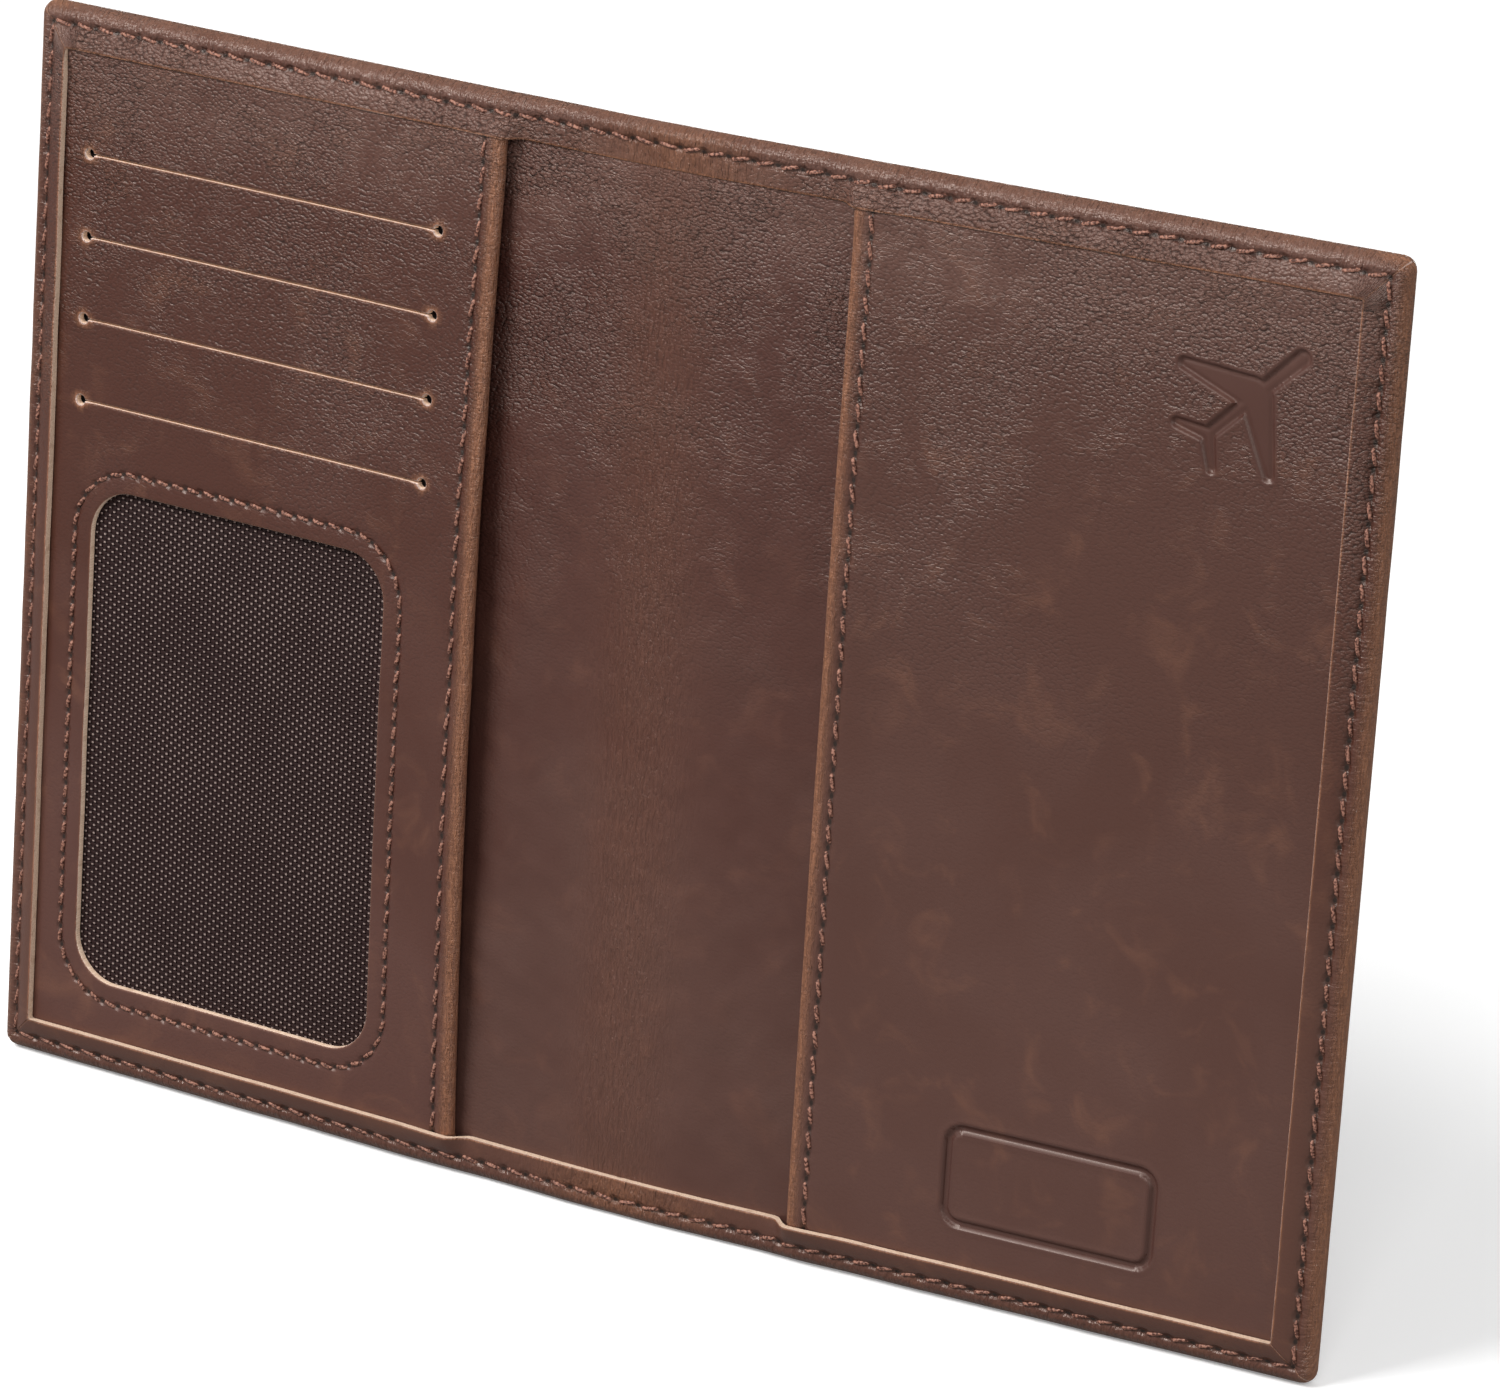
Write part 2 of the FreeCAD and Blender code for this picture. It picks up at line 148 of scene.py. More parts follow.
SLOT_HALF = 0.13
SLOT_HOLE = 0.7
LINER_SIDE = 2.0
LINER_ABOVE = 4.0
LINER_THICKNESS = 0.04
LINING_THICKNESS = 0.4
LINING_WEAR = 0.22          # how worn the lining is over the spine
SPINE_SWELL = 0.55          # how far the lining swells over the spine
MESH_MARGIN = 3.6
WINDOW_RADIUS = 6.5
WARP_PITCH = 0.69           # between the mesh's upright yarns
WEFT_PITCH = 0.56           # between its level yarns
YARN_HALF_THICK = 0.11
CROWN_SHARE = 0.866         # the painted highlight on a yarn's top reaches this share of its half thickness

SEAM_INSET = 2.5
STITCH_PITCH = 3.5
STITCH_LENGTH = 2.7
STITCH_SLANT = 11.0
THREAD_RADIUS = 0.27
WINDOW_PITCH = 2.6
WINDOW_STITCH = 2.05
WINDOW_SEAM = 2.7
PANEL_SEAM = 2.8
SEAM_DIP = 0.3              # how deep a seam pulls the leather down
PUCKER = 0.12               # how far the leather swells beside a seam between its holes
MITRE_DIP = 0.1             # how deep the hem's mitre is at a corner
FOLD_CREASE = 0.22          # how deep the crease is outside a fold line

WINDOW = (MESH_BOX[LOW][U] + MESH_MARGIN, MESH_BOX[LOW][Z] + MESH_MARGIN,
          MESH_BOX[HIGH][U] - MESH_MARGIN, MESH_BOX[HIGH][Z] - MESH_MARGIN)
SLOTS = [(box[LOW][U] + LINER_SIDE, box[HIGH][U] - LINER_SIDE, box[HIGH][Z] - LINER_ABOVE)
         for box in LINER_BOXES]


# --- Small maths ------------------------------------------------------------------------------------
def smooth(t):
    """A smooth step from 0 to 1."""
    t = np.clip(t, 0.0, 1.0)
    return t * t * (3 - 2 * t)


def bump(distance, width):
    """A soft bell, 1 at no distance."""
    return np.exp(-(distance / width) ** 2)


def waves(x, z, size, seed, count=14):
    """Smooth random undulation about -1 to 1, with features of a given size in mm."""
    random = np.random.default_rng(seed)
    total = np.zeros(np.broadcast(x, z).shape)
    for _ in range(count):
        heading = random.uniform(0, 2 * math.pi)
        length = size * random.uniform(0.6, 1.7)
        start = random.uniform(0, 2 * math.pi)
        across = x * math.cos(heading) + z * math.sin(heading)
        total += np.sin(2 * math.pi * across / length + start)
    return total / math.sqrt(count)


def to_space(points):
    """Flat (x, w, z) in mm to the frame's metres, with the covers bent back to rest."""
    points = np.asarray(points, float)
    x = points[:, 0]
    y = BACK_Y - points[:, 1]
    side = np.where(x < 0, LEFT, RIGHT)
    dx = x - side * FOLD_X
    dy = y - FOLD_Y
    angle = side * REST_LEAN * smooth((np.abs(x) - FOLD_X + BEND_HALF) / (2 * BEND_HALF))
    turned_x = side * FOLD_X + dx * np.cos(angle) - dy * np.sin(angle)
    turned_y = FOLD_Y + dx * np.sin(angle) + dy * np.cos(angle)
    return np.stack([turned_x, turned_y, points[:, 2]], axis=1) * MM


# --- Leather surfaces -------------------------------------------------------------------------------
def edge_lift(u):
    """How much higher a panel stands near its turned edge."""
    return EDGE_LIFT * (1 - smooth((u - PANEL_EDGE - 1) / 9))


def top_lift(z):
    """How much higher a sheet stands as it goes under the top hem."""
    return TOP_LIFT * smooth((z - HEIGHT + HEM_TOP + 5) / 4.5)


def rise_share(inset):
    """How far the layers have risen from the pressed seam, 0, to the hem's inner edge, 1."""
    share = np.clip((inset - 2.2) / 3.2, 0, 1)
    return (share + np.sin(math.pi / 2 * share)) / 2


def edge_inset(u, z):
    """Distance in from the nearest edge of the wallet."""
    return np.minimum(HALF_WIDTH - u, np.minimum(z, HEIGHT - z))


def panel_front(side, u, z):
    """Depth of a panel's front surface. Its free inner edge stands open between the hems, and its
    sewn edges are pressed down under them."""
    bow = CARD_BOW if side == LEFT else PASSPORT_BOW
    along = np.clip((z - HEM_BOTTOM) / (HEIGHT - HEM_TOP - HEM_BOTTOM), 0, 1)
    across = np.clip((PANEL_FAR - 2 - u) / (PANEL_FAR - 2 - PANEL_EDGE), 0, 1.1)
    rise = bow * np.sin(math.pi * along) ** 0.8 * across ** 1.7
    ripple = 0.07 * waves(u * side, z, 26, 5) * np.sin(math.pi * along)
    free = PANEL_FRONT + edge_lift(u) + top_lift(z) + rise + ripple
    sewn = roll_thickness(u) - HEM - 0.05
    return sewn + (free - sewn) * rise_share(edge_inset(u, z))


def hem_depth(x):
    """Depth of the turned hem's inner edge: high over a panel, low over the bare lining."""
    u = np.abs(x)
    over_panel = smooth((u - PANEL_EDGE + 2.3) / 2.8)
    high = THICKNESS + edge_lift(np.maximum(u, PANEL_EDGE)) * 0.9
    return SPINE_THICKNESS + (high - SPINE_THICKNESS) * over_panel


def roll_thickness(x):
    """Thickness of the rolled edge, which thins out more slowly towards the spine."""
    over_panel = smooth((np.abs(x) - PANEL_EDGE + 6) / 9)
    return SPINE_THICKNESS + (THICKNESS - ROLL_DROP - SPINE_THICKNESS) * over_panel


def hem_front(inset, x, skive=0.0):
    """Depth of the hem's front. It rises from the rolled edge to the hem's inner edge."""
    low = roll_thickness(x)
    return low + (hem_depth(x) - skive - low) * rise_share(inset)


def hem_under(inset, x, lift=0.0):
    """Depth of the hem's underside, just over the sheets."""
    low = roll_thickness(x) - HEM
    return low + (hem_depth(x) - HEM + lift - low) * rise_share(inset)


def seam_phase(distance, length):
    """Counts stitches along a seam, evenly spaced so that a whole number fits its length."""
    return distance / length * round(length / STITCH_PITCH)


def seam_pull(phase, offset):
    """Share of the seam's dip at a point: deepest where the thread goes in."""
    at_hole = 0.5 + 0.5 * np.cos(2 * math.pi * phase)
    return bump(offset, 0.55) * (0.55 + 0.45 * at_hole ** 2)


# --- Meshes -----------------------------------------------------------------------------------------
class Piece:
    """Points, faces and surface data of one piece while it is built."""

    def __init__(self):
        self.points = []
        self.faces = []
        self.face_slots = []
        self.layers = {"flat": [], "seam": [], "wear": [], "gather": []}
        self.count = 0

    def add(self, points, faces, slot=0, **layers):
        """Adds points (n, 3) and the faces that index them. slot is one material slot, or one a face.
        The layers flat, seam, wear and gather each give a value to every point. The wear layer also
        carries painted light: highlights on the mesh's crowns, and a side roll lit by colour."""
        points = np.asarray(points, float)
        total = len(points)
        blanks = {"flat": points[:, [0, 2]], "seam": np.full((total, 2), 0.5), "wear": np.zeros(total),
                  "gather": np.zeros(total)}
        for name, blank in blanks.items():
            self.layers[name].append(layers.get(name, blank))
        self.points.append(points)
        self.faces += [[index + self.count for index in face] for face in faces]
        self.face_slots += [slot] * len(faces) if isinstance(slot, int) else list(slot)
        self.count += total

    def make(self, name, materials, sharp_degrees=55.0):
        """The Blender object, closed up and with its outside facing out."""
        mesh = bpy.data.meshes.new(name)
        mesh.from_pydata(to_space(np.concatenate(self.points)).tolist(), [], self.faces)
        for material in materials:
            mesh.materials.append(material)
        mesh.polygons.foreach_set("material_index", self.face_slots)
        corners = np.zeros(len(mesh.loops), dtype=np.int32)
        mesh.loops.foreach_get("vertex_index", corners)
        values = {name: np.concatenate(layer) for name, layer in self.layers.items()}
        seam = values["seam"][corners]
        first = np.repeat([polygon.loop_start for polygon in mesh.polygons],
                          [polygon.loop_total for polygon in mesh.polygons])
        seam[:, 0] -= np.round(seam[:, 0] - seam[first, 0])     # a face never spans the count's jump
        for layer_name, uv in (("flat", values["flat"][corners]), ("seam", seam)):
            layer = mesh.uv_layers.new(name=layer_name)
            layer.data.foreach_set("uv", uv.astype(np.float32).ravel())
        for layer_name in ("wear", "gather"):
            layer = mesh.attributes.new(layer_name, "FLOAT", "POINT")
            layer.data.foreach_set("value", values[layer_name].astype(np.float32))
        tidy_mesh(mesh)
        mesh.polygons.foreach_set("use_smooth", [True] * len(mesh.polygons))
        mesh.set_sharp_from_angle(angle=math.radians(sharp_degrees))
        obj = bpy.data.objects.new(name, mesh)
        bpy.context.scene.collection.objects.link(obj)
        return obj


def tidy_mesh(mesh):
    """Joins points that meet, drops faces with no area, closes open ends and faces everything out."""
    work = bmesh.new()
    work.from_mesh(mesh)
    bmesh.ops.remove_doubles(work, verts=work.verts, dist=1e-7)
    bmesh.ops.dissolve_degenerate(work, edges=work.edges, dist=1e-8)
    open_edges = [edge for edge in work.edges if edge.is_boundary]
    if open_edges:
        caps = bmesh.ops.holes_fill(work, edges=open_edges, sides=0)["faces"]
        bmesh.ops.triangulate(work, faces=caps)
    bmesh.ops.recalc_face_normals(work, faces=work.faces)
    work.to_mesh(mesh)
    work.free()


def grid_faces(rows, columns, wrap=False):
    """Quads over a grid of points stored row by row. wrap joins the last column to the first."""
    faces = []
    last = columns if wrap else columns - 1
    for row in range(rows - 1):
        for column in range(last):
            across = (column + 1) % columns
            here = row * columns
            above = here + columns
            faces.append((here + column, here + across, above + across, above + column))
    return faces


def tube_faces(rings, sides):
    """A tube over rings of points, closed at both ends."""
    last = (rings - 1) * sides
    return grid_faces(rings, sides, True) + [tuple(range(sides)), tuple(range(last, last + sides))]


def add_walls(piece, faces, total, slot):
    """Joins a sheet's front to its back, total points further on, along every open edge."""
    seen = {}
    for face in faces:
        for corner, here in enumerate(face):
            edge = (here, face[(corner + 1) % len(face)])
            key = (min(edge), max(edge))
            seen[key] = None if key in seen else edge
    for edge in seen.values():
        if edge is not None:
            here, after = edge
            piece.faces.append((here, after, after + total, here + total))
            piece.face_slots.append(slot)


def share_seam_normals(left, right):
    """Gives two halves of one sheet the same normals where they meet at the spine's centre."""
    totals = {}
    halves = []
    for obj in (left, right):
        mesh = obj.data
        normals = np.zeros(len(mesh.loops) * 3, dtype=np.float32)
        mesh.corner_normals.foreach_get("vector", normals)
        normals = normals.reshape(-1, 3)
        corners = np.zeros(len(mesh.loops), dtype=np.int32)
        mesh.loops.foreach_get("vertex_index", corners)
        places = np.zeros(len(mesh.vertices) * 3, dtype=np.float32)
        mesh.vertices.foreach_get("co", places)
        places = places.reshape(-1, 3)[corners]
        meeting = np.flatnonzero((np.abs(places[:, 0]) < 1e-6) & (np.abs(normals[:, 0]) < 0.7))
        keys = [tuple(np.round(places[index, 1:], 6)) for index in meeting]
        for key, index in zip(keys, meeting):
            totals[key] = totals.get(key, 0) + normals[index]
        halves.append((mesh, normals, meeting, keys))
    for mesh, normals, meeting, keys in halves:
        for key, index in zip(keys, meeting):
            normals[index] = totals[key] / np.linalg.norm(totals[key])
        mesh.normals_split_custom_set(normals.tolist())


# --- Node materials ---------------------------------------------------------------------------------
class Shader:
    """A short way to write a node material."""

    def __init__(self, name):
        self.material = bpy.data.materials.new(name)
        self.material.use_nodes = True
        self.tree = self.material.node_tree
        self.bsdf = self.tree.nodes["Principled BSDF"]

    def node(self, kind, settings=None, **inputs):
        """Adds a node. Inputs are named with underscores for spaces, or by number as i0, i1 and so on."""
        node = self.tree.nodes.new(kind)
        for key, value in (settings or {}).items():
            setattr(node, key, value)
        for key, value in inputs.items():
            numbered = key[0] == "i" and key[1:].isdigit()
            socket = node.inputs[int(key[1:])] if numbered else node.inputs[key.replace("_", " ")]
            self.plug(socket, value)
        return node

    def plug(self, socket, value):
        if isinstance(value, bpy.types.NodeSocket):
            self.tree.links.new(value, socket)
        elif isinstance(value, bpy.types.Node):
            self.tree.links.new(value.outputs[0], socket)
        else:
            socket.default_value = value

    def math(self, operation, first, second=0.0):
        return self.node("ShaderNodeMath", {"operation": operation}, i0=first, i1=second).outputs[0]

    def times(self, first, second):
        return self.math("MULTIPLY", first, second)

    def attribute(self, name):
        return self.node("ShaderNodeAttribute", {"attribute_name": name}).outputs[2]

    def spread(self, value, low, high, to_low=0.0, to_high=1.0):
        """Maps a value from low..high to another range, and holds it there."""
        settings = {"interpolation_type": "SMOOTHSTEP"}
        return self.node("ShaderNodeMapRange", settings, i0=value, i1=low, i2=high, i3=to_low,
                         i4=to_high).outputs[0]

    def mix(self, share, first, second):
        """Mixes two colours, which a colour mix takes as its inputs 6 and 7."""
        settings = {"data_type": "RGBA"}
        return self.node("ShaderNodeMix", settings, i0=share, i6=first, i7=second).outputs[2]

    def flat(self, scale=1.0, stretch=(1.0, 1.0), turn=0.0):
        """Flat leather coordinates in mm, scaled."""
        uv = self.node("ShaderNodeUVMap", {"uv_map": "flat"})
        return self.node("ShaderNodeMapping", None, Vector=uv.outputs[0],
                         Rotation=(0, 0, math.radians(turn)),
                         Scale=(scale * stretch[0], scale * stretch[1], scale)).outputs[0]

    def noise(self, vector, detail=2.0, roughness=0.5, distortion=0.0):
        return self.node("ShaderNodeTexNoise", None, Vector=vector, Scale=1.0, Detail=detail,
                         Roughness=roughness, Distortion=distortion).outputs[0]

    def warp(self, vector, amount, scale):
        """Pushes coordinates about by noise."""
        scaled = self.node("ShaderNodeVectorMath", {"operation": "SCALE"}, Vector=vector, Scale=scale)
        push = self.node("ShaderNodeTexNoise", None, Vector=scaled, Scale=1.0, Detail=1.0).outputs[1]
        centred = self.node("ShaderNodeVectorMath", {"operation": "SUBTRACT"}, i0=push, i1=(0.5, 0.5, 0.5))
        sized = self.node("ShaderNodeVectorMath", {"operation": "SCALE"}, Vector=centred, Scale=amount)
        return self.node("ShaderNodeVectorMath", {"operation": "ADD"}, i0=vector, i1=sized).outputs[0]

    def cells(self, vector, feature, **extra):
        settings = {"feature": feature, "voronoi_dimensions": "2D"}
        return self.node("ShaderNodeTexVoronoi", settings, Vector=vector, Scale=1.0, **extra).outputs[0]

    def bumped(self, height, strength, distance, normal=None):
        inputs = {"Height": height, "Strength": strength, "Distance": distance * MM}
        if normal is not None:
            inputs["Normal"] = normal
        return self.node("ShaderNodeBump", None, **inputs).outputs[0]

    def finish(self, color, roughness, normal=None, **extra):
        self.plug(self.bsdf.inputs["Base Color"], color)
        self.plug(self.bsdf.inputs["Roughness"], roughness)
        if normal is not None:
            self.plug(self.bsdf.inputs["Normal"], normal)
        for key, value in extra.items():
            self.plug(self.bsdf.inputs[key.replace("_", " ")], value)
        return self.material


def srgb(red, green, blue):
    """A display colour of 0 to 255 a channel as linear colour."""
    def linear(value):
        value /= 255
        return value / 12.92 if value <= 0.04045 else ((value + 0.055) / 1.055) ** 2.4
    return (linear(red), linear(green), linear(blue), 1.0)


RAW_TONE = srgb(232, 211, 204)
# painted sheen: the paler colour laid under the top hem
PAINTED_SHEEN_TONE = srgb(118, 88, 78)
PRESSED_TONE = srgb(62, 32, 27)
# painted shade for the grain's valleys
PAINTED_VALLEY_SHADE = (0.014, 0.006, 0.005, 1.0)
# painted shade for the seam's groove and its stitch holes
PAINTED_SEAM_SHADE = (0.008, 0.004, 0.003, 1.0)
WARM_SHEEN = (1.0, 0.87, 0.79, 1.0)
LEATHER_ROUGHNESS = (0.36, 0.47)
GRAIN_DEPTH = 0.19            # mm, as are the three below: relief that the material adds
WRINKLE_DEPTH = 0.42
PLEAT_DEPTH = 0.5
HOLE_DEPTH = 0.3


class LeatherShader(Shader):
    """Smooth waxed leather: pebbled grain, fine creases, cloudy tone, and warmer where it bends.

    Towards the top the colour is darker and the grain stands out. Lower down the leather is
    lighter and pressed nearly flat. A gather above 0 puckers the leather, and below 0 a press has
    smoothed it. Shade in the grain's valleys, along the seams and in their holes, and a sheen under
    the top hem are painted into the colour.
    """

    def __init__(self, name, deep, light, warm, grain=1.0):
        super().__init__(name)
        gather = self.attribute("gather")
        self.worn_and_lit = self.attribute("wear")
        self.puckered = self.math("MAXIMUM", gather, 0.0)
        self.polished = self.times(self.math("MINIMUM", gather, 0.0), -1.0)
        self.up = self.node("ShaderNodeSeparateXYZ", None, Vector=self.flat()).outputs[1]
        self.raised = self.spread(self.up, HEIGHT * 0.38, HEIGHT * 0.98, 0.1, 1.0)
        self.add_patterns()
        self.add_seam_marks()
        self.add_grain(grain)
        roughness = self.spread(self.fine, 0.3, 0.7, *LEATHER_ROUGHNESS)
        roughness = self.math("SUBTRACT", roughness, self.times(self.puckered, 0.08))
        self.finish(self.tone(deep, light, warm), roughness, self.relief(), Specular_IOR_Level=0.65,
                    Specular_Tint=WARM_SHEEN)

    def add_patterns(self):
        """The hide's patterns, from clouds some 30 mm across down to fine pores."""
        self.clouds = self.noise(self.flat(0.035), 3.0, 0.55, 0.4)
        self.patches = self.noise(self.flat(0.13, turn=20), 3.0, 0.6, 0.8)
        self.fine = self.noise(self.flat(6.5), 3.0, 0.6)
        self.streaks = self.noise(self.flat(1.0, (3.0, 0.55)), 3.0, 0.65, 1.0)
        self.wrinkles = self.noise(self.flat(1.0, (1.1, 0.2)), 2.0, 0.55, 1.2)
        pebble_place = self.warp(self.flat(2.2, (0.85, 1.2), 12), 0.9, 0.5)
        from_centre = self.cells(pebble_place, "SMOOTH_F1", Smoothness=0.3)
        self.pebbles = self.math("SUBTRACT", 1.0, self.math("POWER", from_centre, 2.0))
        crease_place = self.warp(self.flat(0.62, (1.0, 2.1), -14), 1.3, 1.1)
        self.creases = self.spread(self.cells(crease_place, "DISTANCE_TO_EDGE"), 0.0, 0.12)

    def add_seam_marks(self):
        """What a seam does beside it: pleats, a painted shadow along its groove, and a pulled-in hole at
        each stitch with painted shade in it.
        """
        seam = self.node("ShaderNodeUVMap", {"uv_map": "seam"}).outputs[0]
        parts = self.node("ShaderNodeSeparateXYZ", None, Vector=seam)
        pleat_place = self.node("ShaderNodeMapping", None, Vector=seam, Scale=(6.5, 2.2, 1.0)).outputs[0]
        self.pleats = self.noise(pleat_place, 2.0, 0.5, 0.3)
        along = self.math("PINGPONG", parts.outputs[0], 0.5)
        across = self.times(parts.outputs[1], 1.5)
        squares = self.math("ADD", self.math("POWER", along, 2.0), self.math("POWER", across, 2.0))
        away = self.math("POWER", squares, 0.5)
        # painted shade in each stitch hole
        self.hole_shade = self.spread(away, 0.08, 0.15, 1.0, 0.0)
        self.pulled = self.spread(away, 0.1, 0.32, 1.0, 0.0)
        # painted shadow along the seam's groove
        self.groove_shadow = self.spread(self.math("ABSOLUTE", parts.outputs[1]), 0.03, 0.15, 0.5, 0.0)

    def add_grain(self, grain):
        """The grain's height, and its strength: patchy, fading downwards, and smoothed by a press."""
        creased = self.times(self.spread(self.patches, 0.44, 0.62), self.raised)
        pores = self.math("ADD", self.times(self.pebbles, 1.3), self.times(self.fine, 0.4))
        self.height = self.math("ADD", pores, self.times(self.creases, creased))
        patchy = self.spread(self.clouds, 0.32, 0.68, 0.5 * grain, 1.5 * grain)
        smoothed = self.math("MAXIMUM", self.polished, self.times(self.puckered, 0.65))
        self.strength = self.times(self.times(self.raised, patchy), self.math("SUBTRACT", 1.0, smoothed))

    def relief(self):
        """The bumped normal: grain, lengthwise wrinkles where it is worn, pleats and stitch holes."""
        normal = self.bumped(self.height, self.strength, GRAIN_DEPTH)
        lengthwise = self.math("ADD", self.streaks, self.wrinkles)
        wrinkled = self.spread(self.worn_and_lit, 0.02, 0.25, 0.0, 0.9)
        normal = self.bumped(lengthwise, wrinkled, WRINKLE_DEPTH, normal)
        normal = self.bumped(self.pleats, self.puckered, PLEAT_DEPTH, normal)
        return self.bumped(self.times(self.pulled, -1.0), 0.5, HOLE_DEPTH, normal)

    def tone(self, deep, light, warm):
        """The colour, darker towards the top, warm where worn and on the side roll where light is painted,
        pale on raw edges, with a painted sheen under the top hem and painted shade in the grain's valleys
        and the seam's groove and holes.
        """
        # darker towards the top
        upper = self.spread(self.up, HEIGHT * 0.08, HEIGHT * 0.65)
        cloudy = self.spread(self.clouds, 0.33, 0.68, 0.3, -0.3)
        tone = self.mix(self.math("ADD", upper, cloudy), light, deep)
        tone = self.mix(self.times(self.spread(self.patches, 0.5, 0.8), 0.18), tone, warm)
        # painted sheen: a patchy paler band under the top hem stands in for the light it catches
        sheen_under_hem = self.spread(self.up, HEIGHT * 0.84, HEIGHT * 0.96, 0.0, 0.4)
        tone = self.mix(self.times(sheen_under_hem, self.spread(self.patches, 0.3, 0.6, 0.4, 1.0)), tone,
                        PAINTED_SHEEN_TONE)
        # painted shade: the colour darkens in the grain's valleys, more where the grain is strong
        valley_shade = self.times(self.spread(self.pebbles, 0.85, 0.55), self.strength)
        tone = self.mix(self.times(valley_shade, 0.45), tone, PAINTED_VALLEY_SHADE)
        tone = self.mix(self.times(self.polished, 0.3), tone, PRESSED_TONE)
        # warm where worn; on the side roll this is partly painted light
        streaked = self.spread(self.streaks, 0.38, 0.62, 0.55, 1.0)
        tone = self.mix(self.times(self.spread(self.worn_and_lit, 0.0, 0.6), streaked), tone, warm)
        pale = self.times(self.spread(self.worn_and_lit, 0.6, 1.0), self.spread(self.fine, 0.35, 0.6, 0.5, 1.0))
        tone = self.mix(pale, tone, RAW_TONE)
        # painted shadow along the seam's groove and painted shade in its holes
        shade = self.math("MAXIMUM", self.groove_shadow, self.times(self.hole_shade, 0.93))
        return self.mix(shade, tone, PAINTED_SEAM_SHADE)


def leather(name, deep, light, warm, grain=1.0):
    return LeatherShader(name, deep, light, warm, grain).material


def raw_edge():
    """The pale cut edge of the leather, with loose fibres."""
    shader = Shader("raw_leather_edge")
    fibres = shader.noise(shader.flat(5.0), 3.0, 0.7)
    patches = shader.noise(shader.flat(0.6), 2.0)
    tone = shader.mix(shader.spread(fibres, 0.3, 0.7), srgb(206, 173, 146), srgb(236, 210, 187))
    tone = shader.mix(shader.times(shader.spread(patches, 0.5, 0.75), 0.4), tone, srgb(160, 116, 82))
    return shader.finish(tone, 0.85, shader.bumped(fibres, 0.6, 0.12))


def thread():
    """Waxed brown thread. Its tone, mixed from dark to pale along the strands, is partly their own colour
    and partly painted highlight.
    """
    shader = Shader("waxed_thread")
    strands = shader.noise(shader.flat(3.0), 2.0)
    # partly painted highlight: pale spots along the strands stand in for glints
    tone = shader.mix(shader.spread(strands, 0.38, 0.62), srgb(70, 41, 34), srgb(164, 117, 100))
    return shader.finish(tone, 0.5, shader.bumped(strands, 0.5, 0.08), Specular_IOR_Level=0.3,
                         Specular_Tint=WARM_SHEEN)


def mesh_yarn():
    """Dark filament yarn, with a painted highlight on the crowns of the weave's upright yarns."""
    shader = Shader("dark_mesh_yarn")
    crown = shader.attribute("wear")
    patches = shader.noise(shader.flat(0.09), 2.0)
    streaks = shader.noise(shader.flat(2.5), 2.0)
    starts = shader.spread(patches, 0.35, 0.65, 0.94, 0.55)
    rubbed_and_lit = shader.node("ShaderNodeMapRange", None, i0=crown, i1=starts, i2=1.0)
    tone = shader.mix(streaks, srgb(36, 22, 22), srgb(50, 35, 34))
    # painted highlight on the crowns
    tone = shader.mix(rubbed_and_lit, tone, srgb(148, 131, 125))
    return shader.finish(tone, 0.5, None, Specular_IOR_Level=0.12)


def pocket_fabric():
    """Thin dark lining cloth with a fine plain weave."""
    shader = Shader("pocket_fabric")
    uv = shader.node("ShaderNodeSeparateXYZ", None, Vector=shader.flat(9.0))
    weave = shader.times(shader.math("SINE", uv.outputs[0]), shader.math("SINE", uv.outputs[1]))
    tone = shader.mix(shader.spread(weave, -1.0, 1.0), srgb(24, 19, 18), srgb(46, 38, 35))
    return shader.finish(tone, 0.75, shader.bumped(weave, 0.5, 0.05))


def fibre_board():
    """Grey-brown fibre board."""
    shader = Shader("fibre_board")
    coordinates = shader.node("ShaderNodeTexCoord").outputs["Object"]
    fibres = shader.node("ShaderNodeTexNoise", None, Vector=coordinates, Scale=900.0, Detail=4.0)
    tone = shader.mix(fibres.outputs[0], srgb(120, 104, 86), srgb(160, 142, 120))
    return shader.finish(tone, 0.9, shader.bumped(fibres.outputs[0], 0.4, 0.1))


OUTER_LEATHER = leather("outer_leather", srgb(77, 43, 33), srgb(86, 54, 44), srgb(146, 97, 69))
CARD_LEATHER = leather("card_leather", srgb(68, 32, 22), srgb(83, 51, 44), srgb(146, 98, 72), 0.9)
PASSPORT_LEATHER = leather("panel_leather", srgb(74, 43, 35), srgb(83, 54, 47), srgb(146, 98, 72), 0.7)
LINING_LEATHER = leather("lining_leather", srgb(70, 37, 30), srgb(80, 52, 45), srgb(124, 81, 63), 0.9)
RAW_EDGE = raw_edge()
THREAD = thread()
MESH_YARN = mesh_yarn()
POCKET_FABRIC = pocket_fabric()
FIBRE_BOARD = fibre_board()


# --- Outer leather ----------------------------------------------------------------------------------
BACK, ROLL, FRONT, UNDER = 0, 1, 2, 3     # what a station's depth is measured from
FLOOR_WIDE = HALF_WIDTH - FLOOR_INSET
FLOOR_TALL = HEIGHT - 2 * FLOOR_INSET
ROLL_WEAR = 0.36
MITRE_WEAR = 0.85


